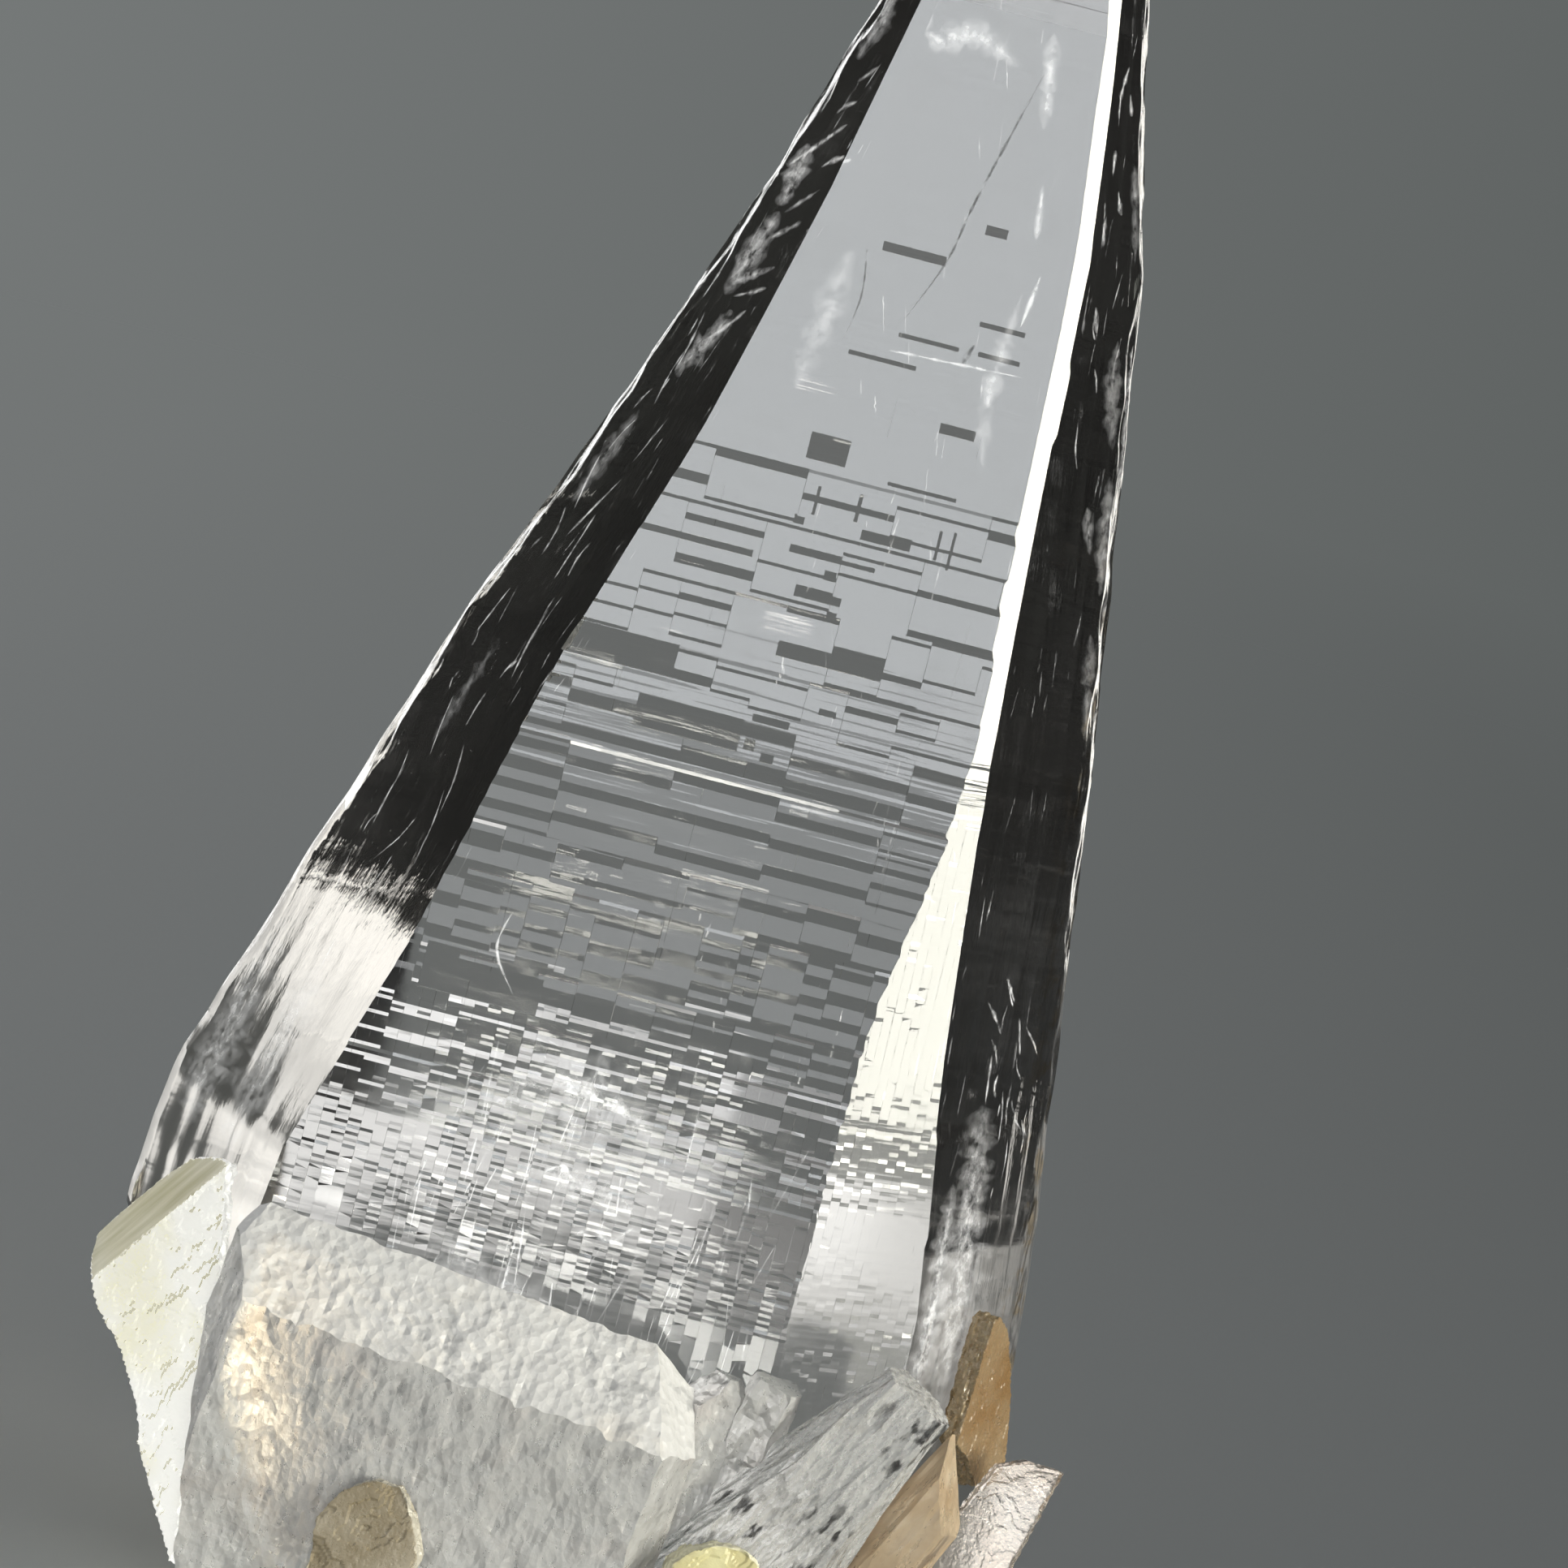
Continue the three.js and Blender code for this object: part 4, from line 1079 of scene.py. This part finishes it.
def weatherPlate(nodeName, mica):
    # the plate's solid in fine faces, its sheets worn back unevenly and its flat sides flaked
    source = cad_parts[nodeName]
    bm = bmesh.new()
    bm.from_mesh(source.data)
    bmesh.ops.remove_doubles(bm, verts=bm.verts, dist=0.000005)
    mesh = bpy.data.meshes.new(nodeName + "_weathered")
    bm.to_mesh(mesh)
    bm.free()
    maker = addObject("maker", mesh)
    remesh = maker.modifiers.new("remesh", "REMESH")
    remesh.mode = "VOXEL"
    remesh.voxel_size = mica["voxel"] * mm
    graph = bpy.context.evaluated_depsgraph_get()
    fine = bpy.data.meshes.new_from_object(maker.evaluated_get(graph))
    bpy.data.objects.remove(maker)
    across, up, through = axesOf(mica["turn"])
    middle = Vector(mica["at"]) * mm
    strip = mica.get("strip")
    if strip:
        facing = (across * strip["facing"][0] + up * strip["facing"][1]).normalized()
        lean = math.radians(strip["lean"])
        stripNormal = (facing * math.cos(lean) + through * math.sin(lean)).normalized()
    bm = bmesh.new()
    bm.from_mesh(fine)
    rims = []
    moves = []
    for vert in bm.verts:
        local = (vert.co - middle) / mm
        u, v, w = local.dot(across), local.dot(up), local.dot(through)
        face = abs(vert.normal.dot(through))
        if strip and vert.normal.dot(stripNormal) > 0.9:
            rims.append(0.0)
            moves.append(0.0)
            continue
        layer = math.floor(w / mica["sheet"])
        wear = noise.noise(Vector((u * 0.5, v * 0.5, layer * 7.3)))
        wear += 0.5 * noise.noise(Vector((u * 1.7, v * 1.7, layer * 3.1)))
        flake = noise.noise(Vector((u * 0.22, v * 0.22, w * 0.5 + 3.0)))
        flake += 0.4 * noise.noise(Vector((u * 0.8, v * 0.8, w + 9.0)))
        edge = min(1.0, max(0.0, (0.8 - face) * 4.0))
        worn = -mica["ragged"] * max(0.0, wear + 0.25)
        flaked = -mica["terrace"] * math.floor(max(0.0, flake + 0.3) * 4.0) / 4.0
        moves.append(edge * worn + (1.0 - edge) * flaked)
        rims.append(edge)
    for vert, move in zip(bm.verts, moves):
        vert.co += vert.normal * move * mm
    bm.to_mesh(fine)
    bm.free()
    fine.attributes.new("rim", "FLOAT", "POINT").data.foreach_set("value", rims)
    fine.materials.clear()
    fine.materials.append(micaFinish(nodeName.replace("_", " "), mica["look"]))
    if strip:
        along = stripNormal.cross(through).normalized()
        fine.materials.append(stripFinish(strip, along, through))
        for polygon in fine.polygons:
            polygon.material_index = 1 if polygon.normal.dot(stripNormal) > 0.9 else 0
    plate = addObject(nodeName + "_flaked", fine)
    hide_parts(nodeName)
    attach(plate, "root")
    print(nodeName, "has", len(fine.polygons), "faces")


for nodeName, mica in micaPieces.items():
    weatherPlate(nodeName, mica)


# The studio: a pale floor, a grey room, and soft lights set where the faces mirror them

def greyRoom():
    world = bpy.data.worlds.new("grey room")
    bpy.context.scene.world = world
    world.use_nodes = True
    tree = world.node_tree
    tree.nodes.clear()
    direction = partsOf(tree, tree.nodes.new("ShaderNodeTexCoord").outputs["Generated"])
    azimuth = calc(tree, "DEGREES", calc(tree, "ARCTAN2", direction[1], direction[0]))
    walls = tree.nodes.new("ShaderNodeValToRGB")
    tree.links.new(ramp(tree, azimuth, -180.0, 180.0), walls.inputs[0])
    stops = walls.color_ramp
    for degrees, level in room["walls"]:
        stop = stops.elements.new((degrees + 180.0) / 360.0)
        stop.color = (level, level, level, 1.0)
    stops.elements.remove(stops.elements[0])
    stops.elements.remove(stops.elements[-1])
    up = ramp(tree, direction[2], 0.35, 0.9)
    sky = blend(tree, up, walls.outputs[0], [room["ceiling"]] * 3)
    seen = tree.nodes.new("ShaderNodeLightPath").outputs["Is Camera Ray"]
    left, right = room["backdrop"]
    backdrop = blend(tree, ramp(tree, direction[0], -0.2, 0.2), left, right)
    colour = blend(tree, seen, sky, backdrop)
    back = tree.nodes.new("ShaderNodeBackground")
    tree.links.new(colour, back.inputs[0])
    tree.links.new(back.outputs[0], tree.nodes.new("ShaderNodeOutputWorld").inputs[0])


# the walls' brightness by compass angle, seen in the crystal but not behind it
room = {
    "backdrop": [(0.182, 0.194, 0.192), (0.104, 0.113, 0.111)],
    "ceiling": 0.30,
    "walls": [(-179, 0.08), (-120, 0.10), (-60, 0.10), (-20, 0.08), (20, 0.03), (45, 0.03), (70, 0.16),
              (90, 0.18), (112, 0.20), (135, 0.03), (160, 0.03), (179, 0.08)],
}
lit = bpy.data.collections.new("lit pieces")


def areaLight(name, width, height, look):
    # lights the pieces alone, so that the floor keeps the even grey of the room
    data = bpy.data.lights.new(name, "AREA")
    data.shape = "RECTANGLE"
    data.size = width
    data.size_y = height
    data.energy = look["radiance"] * math.pi * data.size * data.size_y
    data.color = look["colour"]
    lamp = addObject(name, data)
    lamp.visible_camera = False
    lamp.light_linking.receiver_collection = lit
    return lamp


def softbox(name, look):
    # its place is a direction from the middle of the crystal, in degrees, and a distance in metres
    spans = [2 * look["distance"] * math.tan(math.radians(look[half]))
             for half in ("halfWidth", "halfHeight")]
    lamp = areaLight(name, *spans, look)
    azimuth = math.radians(look["azimuth"])
    elevation = math.radians(look["elevation"])
    level = math.cos(elevation)
    out = Vector((math.cos(azimuth) * level, math.sin(azimuth) * level, math.sin(elevation)))
    lamp.location = Vector((0, 0, 0.07)) + out * look["distance"]
    lamp.rotation_euler = out.to_track_quat("Z", "Y").to_euler()


def card(name, look):
    # stands on the floor and faces the crystal
    lamp = areaLight(name, look["width"] * mm, look["height"] * mm, look)
    place = Vector(look["at"]) * mm
    lamp.location = place
    lamp.rotation_euler = Vector((place.x, place.y, 0)).to_track_quat("Z", "Y").to_euler()


lights = {
    "front softbox": {"azimuth": -90, "elevation": 20.5, "distance": 1.5, "halfWidth": 10, "halfHeight": 5.5,
                      "radiance": 7.4, "colour": (0.94, 0.97, 1.0)},
    "front softbox low": {"azimuth": -90, "elevation": 11, "distance": 1.5, "halfWidth": 10, "halfHeight": 4,
                          "radiance": 2.6, "colour": (0.94, 0.97, 1.0)},
    "bevel strip": {"azimuth": -28, "elevation": 12.5, "distance": 1.2, "halfWidth": 6, "halfHeight": 12.5,
                    "radiance": 24.0, "colour": (1.0, 0.96, 0.84)},
    "left light": {"azimuth": 172, "elevation": 14, "distance": 1.3, "halfWidth": 9, "halfHeight": 10,
                   "radiance": 7.0, "colour": (1.0, 1.0, 1.0)},
}
# cards standing on the floor close by: middle, width and height in millimetres
cards = {
    "low front card": {"at": (-13, -138, 10), "width": 32, "height": 19, "radiance": 13.5,
                       "colour": (1.0, 0.99, 0.92)},
    "bevel card": {"at": (129, -77, 54), "width": 44, "height": 40, "radiance": 18.0,
                   "colour": (1.0, 0.98, 0.86)},
    "low bevel card": {"at": (129, -77, 18), "width": 44, "height": 32, "radiance": 3.0,
                       "colour": (1.0, 0.97, 0.86)},
    "left rim card": {"at": (-263, 539, 175), "width": 170, "height": 348, "radiance": 2.6,
                      "colour": (1.0, 1.0, 1.0)},
    "right rim card": {"at": (254, 544, 175), "width": 150, "height": 348, "radiance": 2.6,
                       "colour": (1.0, 0.97, 0.9)},
}
# seen in the crystal only: compass angles, and heights and radii from and to, with their glow
screens = {
    "right flag": {"angles": (8, 74), "heights": (0.5, 330), "radii": (104, 104), "glow": (0.010, 0.016)},
    "left flag": {"angles": (107, 172), "heights": (0.5, 330), "radii": (115, 115), "glow": (0.010, 0.016)},
    "pale foot left": {"angles": (90, 118), "heights": (0.5, 14), "radii": (114, 114), "glow": (0.4, 0.9)},
    "pale foot right": {"angles": (75, 90), "heights": (0.5, 12), "radii": (114, 114), "glow": (0.1, 0.35)},
    "right ground": {"angles": (8, 74), "heights": (0.5, 0.5), "radii": (32, 103), "glow": (1.0, 1.6)},
    "left ground": {"angles": (119, 172), "heights": (0.5, 0.5), "radii": (48, 114), "glow": (0.1, 0.5)},
}


def curvedScreen(name, look):
    steps = 24
    start, end = look["angles"]
    verts = []
    for i in range(steps + 1):
        angle = math.radians(start + (end - start) * i / steps)
        for radius, height in zip(look["radii"], look["heights"]):
            verts.append(Vector((radius * math.cos(angle), radius * math.sin(angle), height)) * mm)
    faces = [(2 * i, 2 * i + 2, 2 * i + 3, 2 * i + 1) for i in range(steps)]
    mesh = bpy.data.meshes.new(name)
    mesh.from_pydata(verts, [], faces)
    finish = Finish(name, {"Roughness": 1.0, "Base Color": (0.0, 0.0, 0.0), "Specular IOR Level": 0.0,
                           "Emission Strength": 1.0})
    clouds = texture(finish.tree, "Noise", finish.vector, Scale=28.0, Detail=2.0)
    low, high = look["glow"]
    finish.link(ramp(finish.tree, clouds.outputs[0], 0.42, 0.58, low, high), "Emission Color")
    mesh.materials.append(finish.material)
    screen = addObject(name, mesh)
    for sight in ("camera", "shadow", "diffuse", "glossy"):
        setattr(screen, "visible_" + sight, False)
    screen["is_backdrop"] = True


def paleFloor():
    # pale, with painted light: lighter on the left and darker on the right, and fading into the backdrop far
    # behind the crystal
    radius = 1.6
    corners = 64
    mesh = bpy.data.meshes.new("pale_floor")
    angles = [math.tau * i / corners for i in range(corners)]
    ring = [(radius * math.cos(angle), radius * math.sin(angle), 0.0) for angle in angles]
    mesh.from_pydata(ring, [], [list(range(corners))])
    plane = addObject("pale_floor", mesh)
    finish = Finish("pale floor", {"Roughness": 0.8, "Specular IOR Level": 0.0})
    tree = finish.tree
    # the painted fall of light across the floor, from left to right
    across = ramp(tree, partsOf(tree, finish.vector)[0], -0.16, 0.16)
    finish.link(blend(tree, across, (0.80, 0.84, 0.84), (0.47, 0.50, 0.50)), "Base Color")
    far = vectorCalc(tree, "LENGTH", finish.vector)["Value"]
    finish.link(ramp(tree, far, 0.3, 1.4, 1.0, 0.0), "Alpha")
    mesh.materials.append(finish.material)
    plane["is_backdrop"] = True


def frameCamera(look):
    data = bpy.data.cameras.new("camera")
    data.lens = look["lens"]
    data.sensor_width = 36.0
    data.clip_start = 0.01
    data.clip_end = 60.0
    camera = addObject("camera", data)
    elevation = math.radians(look["elevation"])
    roll = math.radians(look["roll"])
    back = Vector((0, -math.cos(elevation), math.sin(elevation)))
    up = Vector((0, math.sin(elevation), math.cos(elevation)))
    right = Vector((1, 0, 0))
    rolledRight = right * math.cos(roll) + up * math.sin(roll)
    rolledUp = up * math.cos(roll) - right * math.sin(roll)
    turn = Matrix((rolledRight, rolledUp, back)).transposed().to_4x4()
    place = Vector(look["target"]) * mm + back * look["distance"] * mm
    camera.matrix_world = Matrix.Translation(place) @ turn
    bpy.context.scene.camera = camera


greyRoom()
for lightName, lightSizes in lights.items():
    softbox(lightName, lightSizes)
for cardName, cardLook in cards.items():
    card(cardName, cardLook)
for screenName, screenLook in screens.items():
    curvedScreen(screenName, screenLook)
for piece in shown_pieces():
    lit.objects.link(piece)
paleFloor()
frameCamera({"target": (-3, -8, 72), "distance": 400, "elevation": 8, "roll": 14.5, "lens": 122.2})

scene = bpy.context.scene
scene.view_settings.view_transform = "Standard"
scene.cycles.max_bounces = 22
scene.cycles.transmission_bounces = 22
scene.cycles.transparent_max_bounces = 20
scene.cycles.sample_clamp_indirect = 12.0
scene.cycles.use_denoising = True
